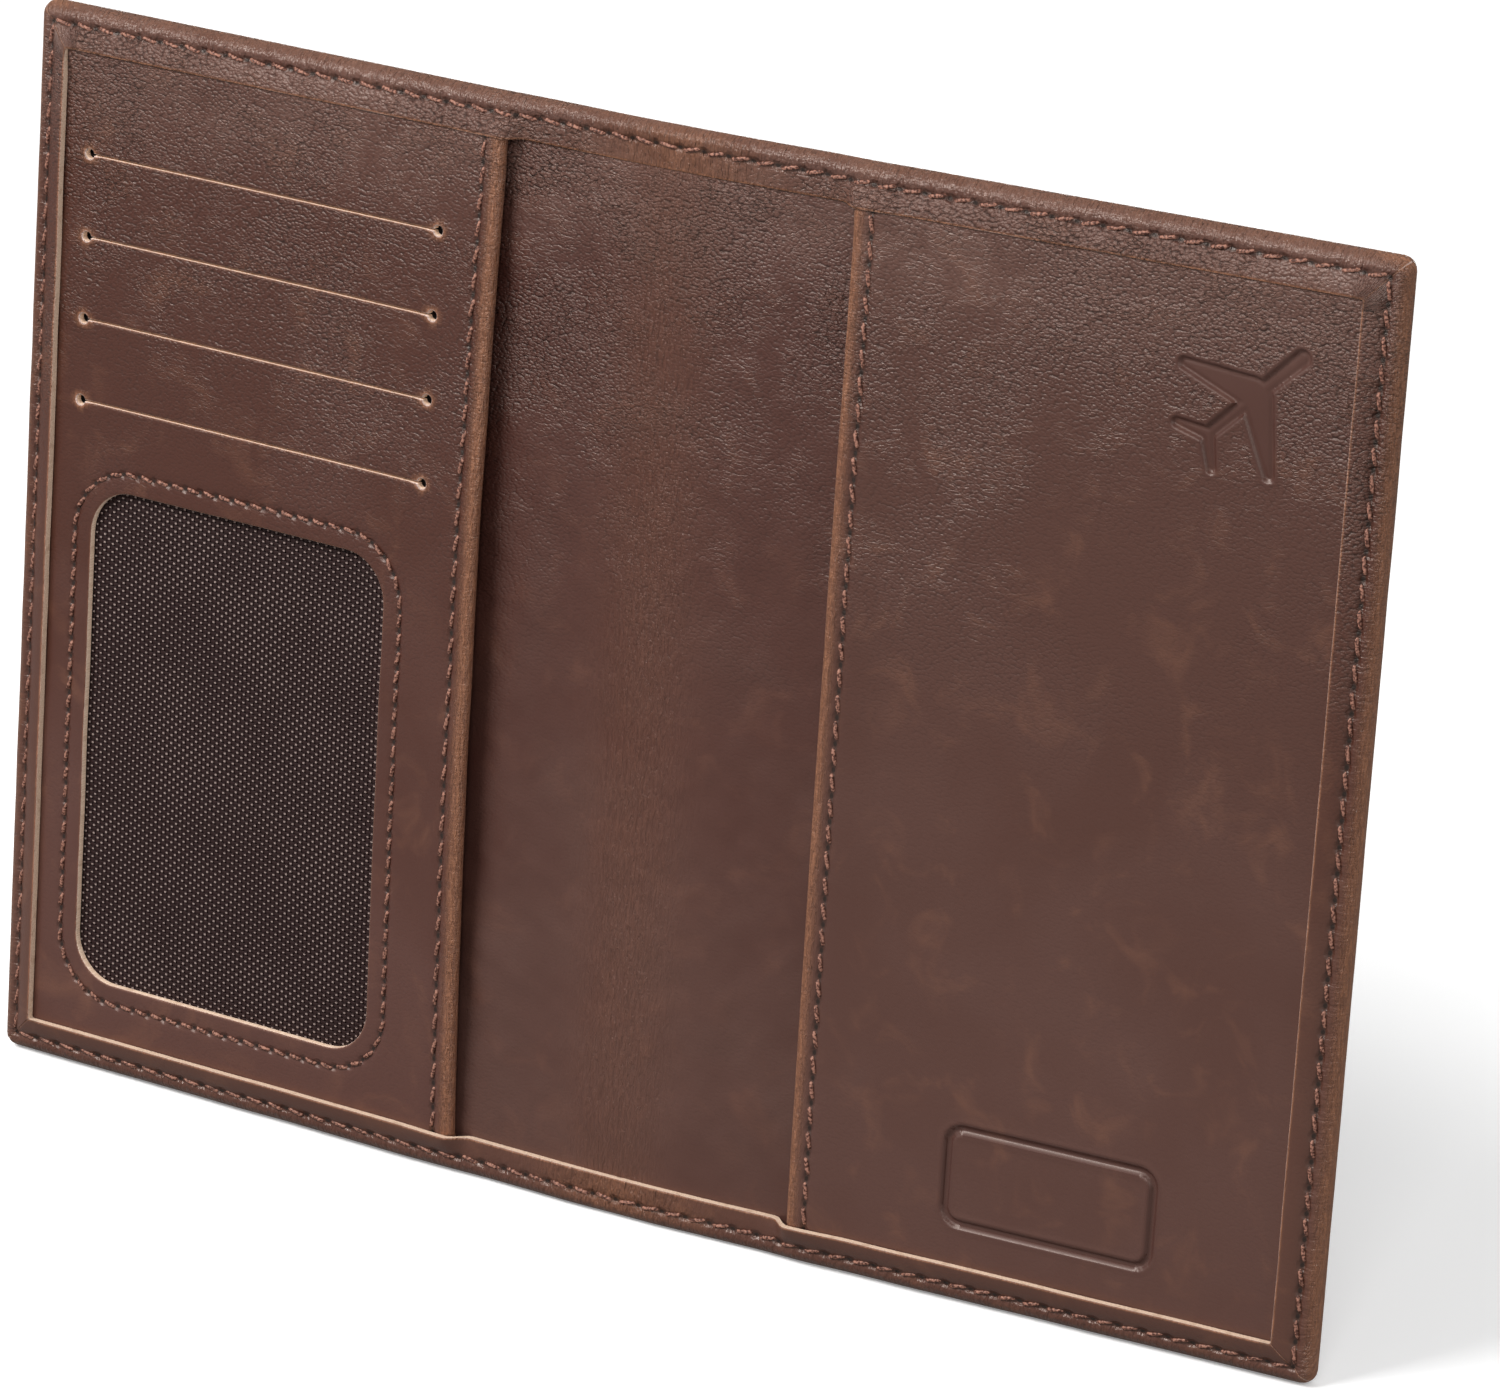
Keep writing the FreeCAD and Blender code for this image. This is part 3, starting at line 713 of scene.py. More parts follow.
def hem_stations():
    """The outer leather's section at its edge, from the outside face round to its inner floor.

    A station is (inset, share, depth, kind, wear). Its inset from the edge grows by a share of the
    roll's thickness. Its depth is in mm from the outside face or from the hem's front, or, on the
    roll, a share of the roll's thickness.
    """
    back_round = 0.37
    front_round = 0.63
    front_reach = 0.52
    back_insets = (FLOOR_INSET, 5.4, 4.0, 3.2, 2.8, SEAM_INSET, 2.2, 1.95)
    stations = [(inset, 0, 0, BACK, 0) for inset in back_insets]
    for step in range(7):
        turn = math.radians(15 * step)
        stations.append((0, back_round * (1 - math.sin(turn)), back_round * (1 - math.cos(turn)), ROLL,
                         ROLL_WEAR * step / 6))
    for step in range(8):
        turn = math.radians(90 * step / 7)
        stations.append((0, front_reach * (1 - math.cos(turn)), 1 - front_round * (1 - math.sin(turn)),
                         ROLL, ROLL_WEAR * (1 - step / 7)))
    for inset in (2.05, 2.25, SEAM_INSET, 2.75, 3.05, 3.6, 4.2, HEM_SIDE - 0.7):
        stations.append((inset, 0, 0, FRONT, 0))
    stations.append((HEM_SIDE - 0.3, 0, -0.01, FRONT, 0.1))
    stations.append((HEM_SIDE - 0.15, 0, -0.02, FRONT, 0.6))
    stations.append((HEM_SIDE, 0, -0.12, FRONT, 0.78))
    return stations


RAW_START = len(hem_stations()) - 1
INNER_STATIONS = [
    (HEM_SIDE, 0, -0.55, FRONT, 0.8),
    (HEM_SIDE - 0.03, 0, 0, UNDER, 0.8),
    (HEM_SIDE - 0.8, 0, 0, UNDER, 0),
    (SEAM_INSET + 1.1, 0, 0, UNDER, 0),
    (SEAM_INSET, 0, 0, UNDER, 0),
    (WRAP + 0.6, 0, 0, UNDER, 0),
    (WRAP, 0, -0.5, UNDER, 0),
    (WRAP, 0, COVER + 0.2, BACK, 0),
    (WRAP + 0.5, 0, COVER, BACK, 0),
    (SEAM_INSET, 0, COVER, BACK, 0),
    (FLOOR_INSET, 0, COVER, BACK, 0),
]


def hem_path():
    """Places round half a wallet's edge from the spine's top to its bottom, as (kind, share).

    The share goes from 0 to 1 along a straight run, and from one run to the next round a corner.
    """
    top_count = round(FLOOR_WIDE / (STITCH_PITCH / 5))
    side_count = round(FLOOR_TALL / (STITCH_PITCH / 5))
    corner = np.concatenate([np.linspace(0, 0.44, 9), [0.47, 0.49, 0.5, 0.51, 0.53],
                             np.linspace(0.56, 1, 9)])[1:-1]
    path = [("top", share) for share in np.linspace(0, 1, top_count + 1)]
    path += [("top_corner", share) for share in corner]
    path += [("side", share) for share in np.linspace(0, 1, side_count + 1)]
    path += [("bottom_corner", share) for share in corner]
    path += [("bottom", share) for share in np.linspace(1, 0, top_count + 1)]
    return path


def corner_point(inset_x, inset_z, share):
    """Points of a corner's rings, as distances in from the side and from the top or bottom."""
    radius = np.maximum(CORNER_RADIUS - (inset_x + inset_z) / 2, 0.3)
    run_x = np.maximum(FLOOR_INSET - inset_x - radius, 0.0)
    run_z = np.maximum(FLOOR_INSET - inset_z - radius, 0.0)
    arc_start, arc_end = 0.44, 0.56
    if share < arc_start:
        return FLOOR_INSET - run_x * share / arc_start, inset_z
    if share > arc_end:
        return inset_x, inset_z + radius + run_z * (share - arc_end) / (1 - arc_end)
    turn = (share - arc_start) / (arc_end - arc_start) * math.pi / 2
    return inset_x + radius * (1 - math.sin(turn)), inset_z + radius * (1 - math.cos(turn))


def leather_relief(x, z, side):
    """Slow undulation of the outer leather, still at the spine's centre where its halves meet."""
    return 0.05 * waves(x * side, z, 16, 11) * smooth((x - 0.5) / 6)


def fold_crease(x):
    """Depth of the soft crease that closing the wallet has left outside each fold line."""
    return FOLD_CREASE * bump(np.abs(x) - FOLD_X, 1.3)


class HemRing:
    """One section of the outer leather: where its stations lie, and what the seam and wear do there."""

    def __init__(self, kind, share, stations):
        self.kind = kind
        self.share = share
        self.inset, self.inset_share, self.depth, self.measured_from, self.wear = stations
        self.low_half = kind.startswith("bottom")
        self.straight_x = kind in ("top", "bottom")
        self.at_corner = kind.endswith("corner")
        self.x_here = FLOOR_WIDE * share if self.straight_x else HALF_WIDTH
        self.roll = roll_thickness(self.x_here)
        self.skive = {"top": TOP_SKIVE, "top_corner": TOP_SKIVE * (1 - smooth(share))}.get(kind, 0.0)
        self.mitre = max(1 - 50 * abs(share - 0.5), 0) if self.at_corner else 0.0
        self.lay_out()
        self.set_depths()
        self.count_stitches()
        self.press_seam()

    def lay_out(self):
        """Sets x and z, and the turn from facing up or down to facing sideways."""
        hem_z = HEM_BOTTOM if self.low_half else HEM_TOP
        turned = (self.measured_from >= FRONT) & (self.inset > SEAM_INSET)
        widened = SEAM_INSET + (self.inset - SEAM_INSET) * (hem_z - SEAM_INSET) / (HEM_SIDE - SEAM_INSET)
        self.in_x = self.inset + self.inset_share * self.roll
        self.in_z = np.where(turned, widened, self.inset) + self.inset_share * self.roll
        self.turn = 0.0
        if self.straight_x:
            self.from_x, self.from_z = HALF_WIDTH - self.x_here + 0 * self.in_x, self.in_z
        elif self.kind == "side":
            self.from_x, self.from_z = self.in_x, FLOOR_INSET + FLOOR_TALL * self.share + 0 * self.in_x
            self.turn = math.pi / 2
        else:
            step = 1 - self.share if self.low_half else self.share
            self.from_x, self.from_z = corner_point(self.in_x, self.in_z, step)
            self.turn = step * math.pi / 2
        self.x = HALF_WIDTH - self.from_x
        self.z = self.from_z if self.low_half else HEIGHT - self.from_z

    def set_depths(self):
        """Sets the depths before anything is pressed in, and the distance gone round the section."""
        at_front = self.measured_from == FRONT
        under = hem_under(self.inset, self.x_here, TOP_LIFT * self.skive / TOP_SKIVE)
        w = np.where(self.measured_from == ROLL, self.depth * self.roll, self.depth)
        w = w + np.where(at_front, hem_front(self.inset, self.x_here, self.skive), 0)
        w = w + np.where(self.measured_from == UNDER, under, 0)
        self.w = np.where(at_front, np.maximum(w, under + 0.02), w)
        self.run = np.concatenate([[0], np.cumsum(np.hypot(np.diff(self.in_x), np.diff(self.w)))])

    def count_stitches(self):
        """Sets the count of stitches along the seam, and the distance in from the seam."""
        by_top = (self.kind != "side") & (self.from_x > self.from_z) | self.straight_x
        self.phase = np.where(by_top, seam_phase(self.x, HALF_WIDTH - SEAM_INSET),
                              seam_phase(HEIGHT - SEAM_INSET - self.z, HEIGHT - 2 * SEAM_INSET))
        self.offset = np.where(by_top, self.in_z, self.in_x) - SEAM_INSET

    def press_seam(self):
        """Presses in the seam, the crease beside the spine, the puckers and the mitre."""
        dyed = np.arange(len(self.inset)) < RAW_START
        outside = (self.measured_from == BACK) & dyed
        self.inside = (self.measured_from > BACK) & dyed & (self.w > self.roll / 2)
        pull = seam_pull(self.phase, self.offset) * SEAM_DIP
        pucker = PUCKER * np.abs(np.sin(math.pi * self.phase)) * bump(self.offset + 0.9, 0.7)
        w = self.w - np.where(self.inside, pull, 0)
        w = w + np.where(outside, 0.7 * pull + fold_crease(self.x), 0)
        self.w = w + np.where(self.inside, pucker, 0) - np.where(self.inside, MITRE_DIP * self.mitre, 0)

    def flat(self):
        """Flat leather coordinates, which run on round the edge."""
        out_z = -1 if self.low_half else 1
        level = self.straight_x or self.at_corner
        flat_x = np.minimum(self.x, FLOOR_WIDE) if level else FLOOR_WIDE + 0 * self.x
        flat_z = np.clip(self.z, FLOOR_INSET, HEIGHT - FLOOR_INSET)
        return np.stack([flat_x + self.run * math.sin(self.turn),
                         flat_z + self.run * math.cos(self.turn) * out_z], axis=1)

    def gather(self):
        """How much the seam puckers the leather, and the spine's ends."""
        near_seam = np.maximum(smooth((0.3 - self.offset) / 0.5), bump(self.x, 17.0))
        upper = smooth((self.w / self.roll - 0.45) / 0.3)
        return self.inside * upper * near_seam * (1 - 0.55 * math.sin(self.turn))

    def worn_and_lit(self):
        """Wear on the roll, raised on the side roll as painted light, on the raw edge where the top hem
        isn't pared, by the spine and at a mitre.
        """
        # painted light: the roll's wear is raised on the side so it is warmer and paler, as if lit from
        # the side
        roll_wear_and_side_light = np.minimum(self.wear * (1 + 1.5 * math.sin(self.turn)), 0.6)
        rubbed_and_lit = np.where(self.measured_from == ROLL, roll_wear_and_side_light, self.wear)
        patchy = 0.13 + 0.13 * np.sin(self.x_here / 4.1) * np.sin(self.x_here / 6.7 + 1)
        pared = self.wear * patchy * self.skive / TOP_SKIVE
        rubbed_and_lit = rubbed_and_lit - np.where(self.measured_from == FRONT, pared, 0)
        across = np.maximum(0.3 * bump(self.x, 13.0), MITRE_WEAR * self.mitre)
        return np.maximum(rubbed_and_lit, np.where(self.inside, across, 0))

    def data(self):
        """The ring's points, and its flat, seam, wear and gather layers."""
        points = np.stack([self.x, self.w, self.z], axis=1)
        seam = np.stack([self.phase, self.offset / STITCH_PITCH], axis=1)
        return points, self.flat(), seam, self.worn_and_lit(), self.gather()


def outer_leather(side):
    """Half of the wallet's outer skin, with its edges turned over the inside."""
    rows = hem_stations() + INNER_STATIONS
    stations = [np.array(column) for column in zip(*rows)]
    path = hem_path()
    rings = [HemRing(kind, share, stations).data() for kind, share in path]
    points, flat, seams, wears, gathers = (np.concatenate(part) for part in zip(*rings))
    points[:, 1] += leather_relief(points[:, 0], points[:, 2], side)
    faces = grid_faces(len(path), len(rows))
    per_row = [1 if RAW_START <= column < RAW_START + 2 else 0 for column in range(len(rows) - 1)]
    piece = Piece()
    piece.add(points * (side, 1, 1), faces, per_row * (len(path) - 1), flat=flat * (side, 1),
              seam=seams, wear=wears, gather=gathers)
    add_floors(piece, side, path)
    return piece.make(SIDE_NAME[side] + "_outer_leather", [OUTER_LEATHER, RAW_EDGE])


def add_floors(piece, side, path):
    """The flat middle of the outer leather: its outside, and its hidden inner face."""
    xs = np.array([FLOOR_WIDE * share for kind, share in path if kind == "top"])
    zs = np.array([FLOOR_INSET + FLOOR_TALL * share for kind, share in path if kind == "side"])
    grid_x, grid_z = np.meshgrid(xs, zs)
    relief = leather_relief(grid_x, grid_z, side)
    for depth in (fold_crease(grid_x), COVER):
        points = np.stack([grid_x * side, depth + relief, grid_z], axis=-1).reshape(-1, 3)
        worn_and_lit = np.where(depth < COVER, 0.2 * bump(grid_x - FOLD_X, 2.2), 0).ravel()
        piece.add(points, grid_faces(len(zs), len(xs)), wear=worn_and_lit)


# --- Sheets -----------------------------------------------------------------------------------------
def slab(name, side, us, zs, front, thickness, material, wear=np.zeros_like):
    """A closed sheet over a grid of u and z, with its front's depth and wear given for its points."""
    u, z = (grid.ravel() for grid in np.meshgrid(us, zs))
    depth = front(u, z)
    faces = grid_faces(len(zs), len(us))
    piece = Piece()
    for below in (0, thickness):
        piece.add(np.stack([u * side, depth - below, z], axis=1), faces, wear=wear(u * side))
    add_walls(piece, faces, len(u), 0)
    return piece.make(name, [material])


def lining_front(u, z, side):
    """The lining's front: a soft swell over the spine, and slack waves beside it."""
    x = u * side
    swell = SPINE_SWELL * bump(x + 1.0, 8.0) * smooth((z - SHEET_LOW) / 14) * smooth((SHEET_HIGH - z) / 14)
    slack = 0.1 * waves(x, z * 0.45, 9, 21) + 0.05 * waves(x, z, 4.5, 22)
    open_part = smooth((z - SHEET_LOW - 3) / 6) * smooth((SHEET_HIGH - 4 - z) / 6)
    quiet = smooth((np.abs(x) - 0.3) / 2.5)
    sewn = 0.3 * smooth((u - PANEL_EDGE + 3) / 3) * (1 - rise_share(edge_inset(u, z)))
    free = swell + slack * open_part * quiet + top_lift(z) * rise_share(edge_inset(u, z))
    return LINING_FRONT + free - sewn


def lining(side):
    fine = np.arange(0, 34, 0.8)
    coarse = np.arange(34, LINING_BOX[HIGH][U], 4.0)
    us = np.concatenate([fine, coarse, [LINING_BOX[HIGH][U]]])
    zs = np.linspace(SHEET_LOW, SHEET_HIGH, round((SHEET_HIGH - SHEET_LOW) / CELL))
    return slab(SIDE_NAME[side] + "_lining_leather", side, us, zs, lambda u, z: lining_front(u, z, side),
                LINING_THICKNESS, LINING_LEATHER, lambda x: LINING_WEAR * bump(x + 1.0, 9.0))


# --- Pocket panels ----------------------------------------------------------------------------------
class Slot:
    """A card slot: a narrow cut with a punched hole at both ends."""

    def __init__(self, near, far, height):
        self.near = near
        self.far = far
        self.height = height
        self.step = 1.3

    def distance(self, u, z):
        """Distance outside the cut, negative inside it."""
        dz = z - self.height
        bar_u = np.maximum(np.maximum(self.near - u, u - self.far), 0)
        bar = np.hypot(bar_u, np.maximum(np.abs(dz) - SLOT_HALF, 0))
        inside = (bar_u <= 0) & (np.abs(dz) < SLOT_HALF)
        bar = np.where(inside, np.abs(dz) - SLOT_HALF, bar)
        first = np.hypot(u - self.near, dz) - SLOT_HOLE
        second = np.hypot(u - self.far, dz) - SLOT_HOLE
        return np.minimum(bar, np.minimum(first, second))

    def holes(self, u, z):
        """Distance outside the nearer punched hole."""
        ends = [np.hypot(u - end, z - self.height) for end in (self.near, self.far)]
        return np.minimum(*ends) - SLOT_HOLE

    def outline(self, offset):
        """The cut's outline, grown by an offset."""
        half = SLOT_HALF + offset
        radius = SLOT_HOLE + offset
        start = math.asin(min(half / radius, 1))
        reach = radius * math.cos(start)
        steps = round((self.far - self.near) / self.step)
        straight = np.linspace(self.near + reach, self.far - reach, steps)
        turns = np.linspace(math.pi - start, -math.pi + start, 18)[1:-1]
        points = [(u, self.height + half) for u in straight]
        points += [(self.far + radius * math.cos(turn), self.height + radius * math.sin(turn))
                   for turn in turns]
        points += [(u, self.height - half) for u in straight[::-1]]
        points += [(self.near - radius * math.cos(turn), self.height - radius * math.sin(turn))
                   for turn in turns]
        return points


class Window:
    """A rectangular opening with rounded corners."""

    def __init__(self, low_u, low_z, high_u, high_z, radius):
        self.centre = ((low_u + high_u) / 2, (low_z + high_z) / 2)
        self.half = ((high_u - low_u) / 2, (high_z - low_z) / 2)
        self.radius = radius

    def distance(self, u, z):
        du = np.abs(u - self.centre[0]) - self.half[0] + self.radius
        dz = np.abs(z - self.centre[1]) - self.half[1] + self.radius
        outside = np.hypot(np.maximum(du, 0), np.maximum(dz, 0))
        return outside + np.minimum(np.maximum(du, dz), 0) - self.radius

    def outline(self, offset, step=1.0):
        radius = self.radius + offset
        points = []
        for quarter, (sign_u, sign_z) in enumerate(((1, 1), (-1, 1), (-1, -1), (1, -1))):
            centre_u = self.centre[0] + sign_u * (self.half[0] - self.radius)
            centre_z = self.centre[1] + sign_z * (self.half[1] - self.radius)
            count = max(8, round(radius * math.pi / 2 / step))
            for index in range(count + 1):
                turn = math.pi / 2 * (quarter + index / count)
                points.append((centre_u + radius * math.cos(turn), centre_z + radius * math.sin(turn)))
            straight = 2 * (self.half[quarter % 2] - self.radius)
            count = round(straight / step)
            last = points[-1]
            heading = math.pi / 2 * (quarter + 2)
            for index in range(1, count):
                gone = straight * index / count
                points.append((last[0] + gone * math.cos(heading), last[1] + gone * math.sin(heading)))
        return points


def fold_behind(side, p, z, depth):
    """Lays a panel down with its inner edge folded behind itself.

    p is the distance from the spine along the unfolded sheet, and depth is measured into the sheet
    from its front. Returns u and w.
    """
    start = PANEL_EDGE + FOLD_RADIUS
    turn = np.clip((start - p) / FOLD_RADIUS, 0, math.pi)
    past = np.maximum(start - math.pi * FOLD_RADIUS - p, 0)
    reach = FOLD_RADIUS - depth
    u = np.maximum(p, start) - reach * np.sin(turn) + past
    w = panel_front(side, u, z) - FOLD_RADIUS + reach * np.cos(turn)
    return u, w


def panel_grid(fine_zones):
    """Lattice lines for a panel, closer together over its fold, its seam and the fine zones."""
    fold_start = PANEL_EDGE + FOLD_RADIUS - math.pi * FOLD_RADIUS
    lines = list(np.arange(fold_start - TURNED_STRIP, fold_start, 1.6))
    lines += list(np.linspace(fold_start, PANEL_EDGE + FOLD_RADIUS, 13))
    lines += list(np.arange(PANEL_EDGE + FOLD_RADIUS + 0.6, PANEL_FAR - 0.5, CELL)) + [PANEL_FAR]
    lines += [PANEL_EDGE + PANEL_SEAM + offset for offset in (-0.7, -0.35, 0, 0.35, 0.7)]
    heights = list(np.linspace(SHEET_LOW, SHEET_HIGH, round((SHEET_HIGH - SHEET_LOW) / CELL)))
    for low_u, low_z, high_u, high_z, step in fine_zones:
        lines += list(np.arange(low_u, high_u, step))
        heights += list(np.arange(low_z, high_z, step))
    return thin_out(lines), thin_out(heights)


def thin_out(lines, closest=0.14):
    """Sorts lines and drops any that crowd the one before."""
    kept = []
    for line in sorted(lines):
        if not kept or line - kept[-1] > closest:
            kept.append(line)
    return np.array(kept)


def cut_sheet(lines, heights, openings, rings):
    """A flat sheet over a lattice with its openings cut out, as points (n, 2) and triangles."""
    grid_p, grid_z = (grid.ravel() for grid in np.meshgrid(lines, heights))
    clear = np.ones(grid_p.shape, bool)
    for opening in openings:
        clear &= opening.distance(grid_p, grid_z) > 0.62
    flat = list(zip(grid_p[clear], grid_z[clear]))
    edges = []
    for opening in openings:
        for offset in (0.0, RAW_LIP, 0.4):
            outline = opening.outline(offset)
            start = len(flat)
            flat += outline
            ring = list(range(start, start + len(outline)))
            edges += [(here, ring[(index + 1) % len(ring)]) for index, here in enumerate(ring)]
    flat += rings
    points, _, triangles, _, _, _ = delaunay_2d_cdt([Vector(point) for point in flat], edges, [], 0, 1e-5)
    flat = np.array([tuple(point) for point in points])
    centres = flat[np.array(triangles)].mean(axis=1)
    kept = np.ones(len(triangles), bool)
    for opening in openings:
        kept &= opening.distance(centres[:, 0], centres[:, 1]) > 0
    return flat, np.array(triangles)[kept].tolist()


def panel_mesh(side, name, material, openings, rings, fine_zones, pressed, seam_data):
    """A pocket panel: a thick sheet with its openings cut out and its inner edge turned behind."""
    lines, heights = panel_grid(fine_zones)
    flat, triangles = cut_sheet(lines, heights, openings, rings)
    p, z = flat[:, 0], flat[:, 1]
    gap = np.full(p.shape, 99.0)
    punched = np.full(p.shape, 99.0)
    for opening in openings:
        gap = np.minimum(gap, opening.distance(p, z))
        if isinstance(opening, Slot):
            punched = np.minimum(punched, opening.holes(p, z))
    lip = RAW_LIP * np.clip(1 - gap / RAW_LIP, 0, 1) ** 2
    phase, offset = seam_data(p, z)
    mark, polish = pressed(p, z)
    dent = mark + seam_pull(phase, offset) * SEAM_DIP * 0.8 - 0.1 * bump(punched - 0.3, 0.25)
    seams = np.stack([phase, offset / STITCH_PITCH], axis=1)
    near_u, near_w = fold_behind(side, p, z, lip + dent)
    far_u, far_w = fold_behind(side, p, z, np.full(p.shape, PANEL))
    bent = bump(p - PANEL_EDGE - 0.1, 1.5) * 0.64
    worn_and_lit = np.maximum(bent, np.clip(1.15 - gap / 0.12, 0, 1))
    worn_and_lit = np.maximum(worn_and_lit, 0.78 * bump(punched - 0.1, 0.32))
    uv = np.stack([p * side, z], axis=1)
    piece = Piece()
    piece.add(np.stack([near_u * side, near_w, z], axis=1), triangles, flat=uv, seam=seams, wear=worn_and_lit,
              gather=0.6 * bent - polish)
    piece.add(np.stack([far_u * side, far_w, z], axis=1), triangles, flat=uv)
    add_walls(piece, triangles, len(p), 1)
    return piece.make(name, [material, RAW_EDGE], 48.0)


def edge_seam_data(p, z):
    """Stitch count and offset of a panel's edge seam."""
    length = HEIGHT - HEM_TOP - HEM_BOTTOM
    return seam_phase(z - HEM_BOTTOM, length), p - PANEL_EDGE - PANEL_SEAM


def window_path():
    """The window's seam as points and the distance gone at each."""
    path = np.array(Window(*WINDOW, WINDOW_RADIUS).outline(WINDOW_SEAM, 0.25))
    path = np.concatenate([path, path[:1]])
    gone = np.concatenate([[0], np.cumsum(np.hypot(*np.diff(path, axis=0).T))])
    return path, gone


def window_seam_data(p, z):
    """Stitch count and offset of the window's seam."""
    offset = Window(*WINDOW, WINDOW_RADIUS).distance(p, z) - WINDOW_SEAM
    path, gone = window_path()
    count = round(gone[-1] / WINDOW_PITCH)
    phase = np.full(p.shape, 0.5)
    for index in np.flatnonzero(np.abs(offset) < 2.0):
        nearest = np.argmin((path[:, 0] - p[index]) ** 2 + (path[:, 1] - z[index]) ** 2)
        phase[index] = gone[nearest] / gone[-1] * count
    return phase, offset


def card_seam_data(p, z):
    """The nearer of the card panel's two seams."""
    edge_phase, edge_offset = edge_seam_data(p, z)
    window_phase, window_offset = window_seam_data(p, z)
    nearer = np.abs(window_offset) < np.abs(edge_offset)
    return np.where(nearer, window_phase, edge_phase), np.where(nearer, window_offset, edge_offset)


# --- Marks pressed into the passport panel ----------------------------------------------------------
PLANE_CENTRE = (80.8, 126.7)
PLANE_HEADING = math.radians(45)
FRAME_CENTRE = (62.5, 17.5)
FRAME_HALF = (14.5, 6.5)
FRAME_LINE = 0.5
MARK_DEPTH = 0.52
MARK_EDGE = 0.36


def limb(along, across, start, end, start_radius, end_radius):
    """Distance from a tapered round-ended limb between two points."""
    run = (end[0] - start[0], end[1] - start[1])
    length = math.hypot(*run)
    share = ((along - start[0]) * run[0] + (across - start[1]) * run[1]) / length ** 2
    share = np.clip(share, 0, 1)
    gap = np.hypot(along - start[0] - share * run[0], across - start[1] - share * run[1])
    return gap - start_radius - (end_radius - start_radius) * share


def plane_distance(u, z):
    """Distance from a plain aircraft sign: a body, two swept wings and a small tail."""
    du = u - PLANE_CENTRE[0]
    dz = z - PLANE_CENTRE[1]
    along = du * math.cos(PLANE_HEADING) + dz * math.sin(PLANE_HEADING)
    across = np.abs(-du * math.sin(PLANE_HEADING) + dz * math.cos(PLANE_HEADING))
    body = limb(along, across, (-7.4, 0), (9.5, 0), 0.85, 1.1)
    wing = limb(along, across, (1.1, 0.5), (-3.8, 8.7), 2.3, 0.8)
    tail = limb(along, across, (-7.2, 0.1), (-9.5, 3.6), 1.0, 0.65)
    return np.minimum(body, np.minimum(wing, tail))


def frame_distance(u, z):
    """Distance from the line of an empty rounded rectangle."""
    blank = Window(FRAME_CENTRE[0] - FRAME_HALF[0], FRAME_CENTRE[1] - FRAME_HALF[1],
                   FRAME_CENTRE[0] + FRAME_HALF[0], FRAME_CENTRE[1] + FRAME_HALF[1], 2.2)
    return np.abs(blank.distance(u, z)) - FRAME_LINE


def pressed_marks(p, z):
    """Depth of the pressed marks, deepest along their rims with a slight lip outside, and how smooth
    the press has left the grain."""
    depth = np.zeros(p.shape)
    polish = np.zeros(p.shape)
    for gap in (plane_distance(p, z), frame_distance(p, z)):
        floor_share = smooth(-gap / MARK_EDGE + 0.5)
        rim = bump(gap + MARK_EDGE, 0.25)
        lip = bump(gap - 0.45, 0.35)
        depth += MARK_DEPTH * (0.78 * floor_share + 0.22 * rim) - 0.06 * lip
        polish = np.maximum(polish, smooth((0.75 - gap) / 0.6))
    return depth, polish


def unpressed(p, z):
    return 0 * p, 0 * p


def card_panel():
    openings = [Slot(near, far, height) for near, far, height in SLOTS]
    window = Window(*WINDOW, WINDOW_RADIUS)
    openings.append(window)
    rings = [point for offset in (-0.6, -0.3, 0, 0.3, 0.6)
             for point in window.outline(WINDOW_SEAM + offset, WINDOW_PITCH / 5)]
    return panel_mesh(LEFT, "card_panel_leather", CARD_LEATHER, openings, rings, [], unpressed,
                      card_seam_data)


def passport_panel():
    reach = 11.5
    zones = [(PLANE_CENTRE[0] - reach, PLANE_CENTRE[1] - reach, PLANE_CENTRE[0] + reach,
              PLANE_CENTRE[1] + reach, 0.23),
             (FRAME_CENTRE[0] - FRAME_HALF[0] - 1.5, FRAME_CENTRE[1] - FRAME_HALF[1] - 1.5,
              FRAME_CENTRE[0] + FRAME_HALF[0] + 1.5, FRAME_CENTRE[1] + FRAME_HALF[1] + 1.5, 0.3)]
    return panel_mesh(RIGHT, "passport_panel_leather", PASSPORT_LEATHER, [], [], zones, pressed_marks,
                      edge_seam_data)


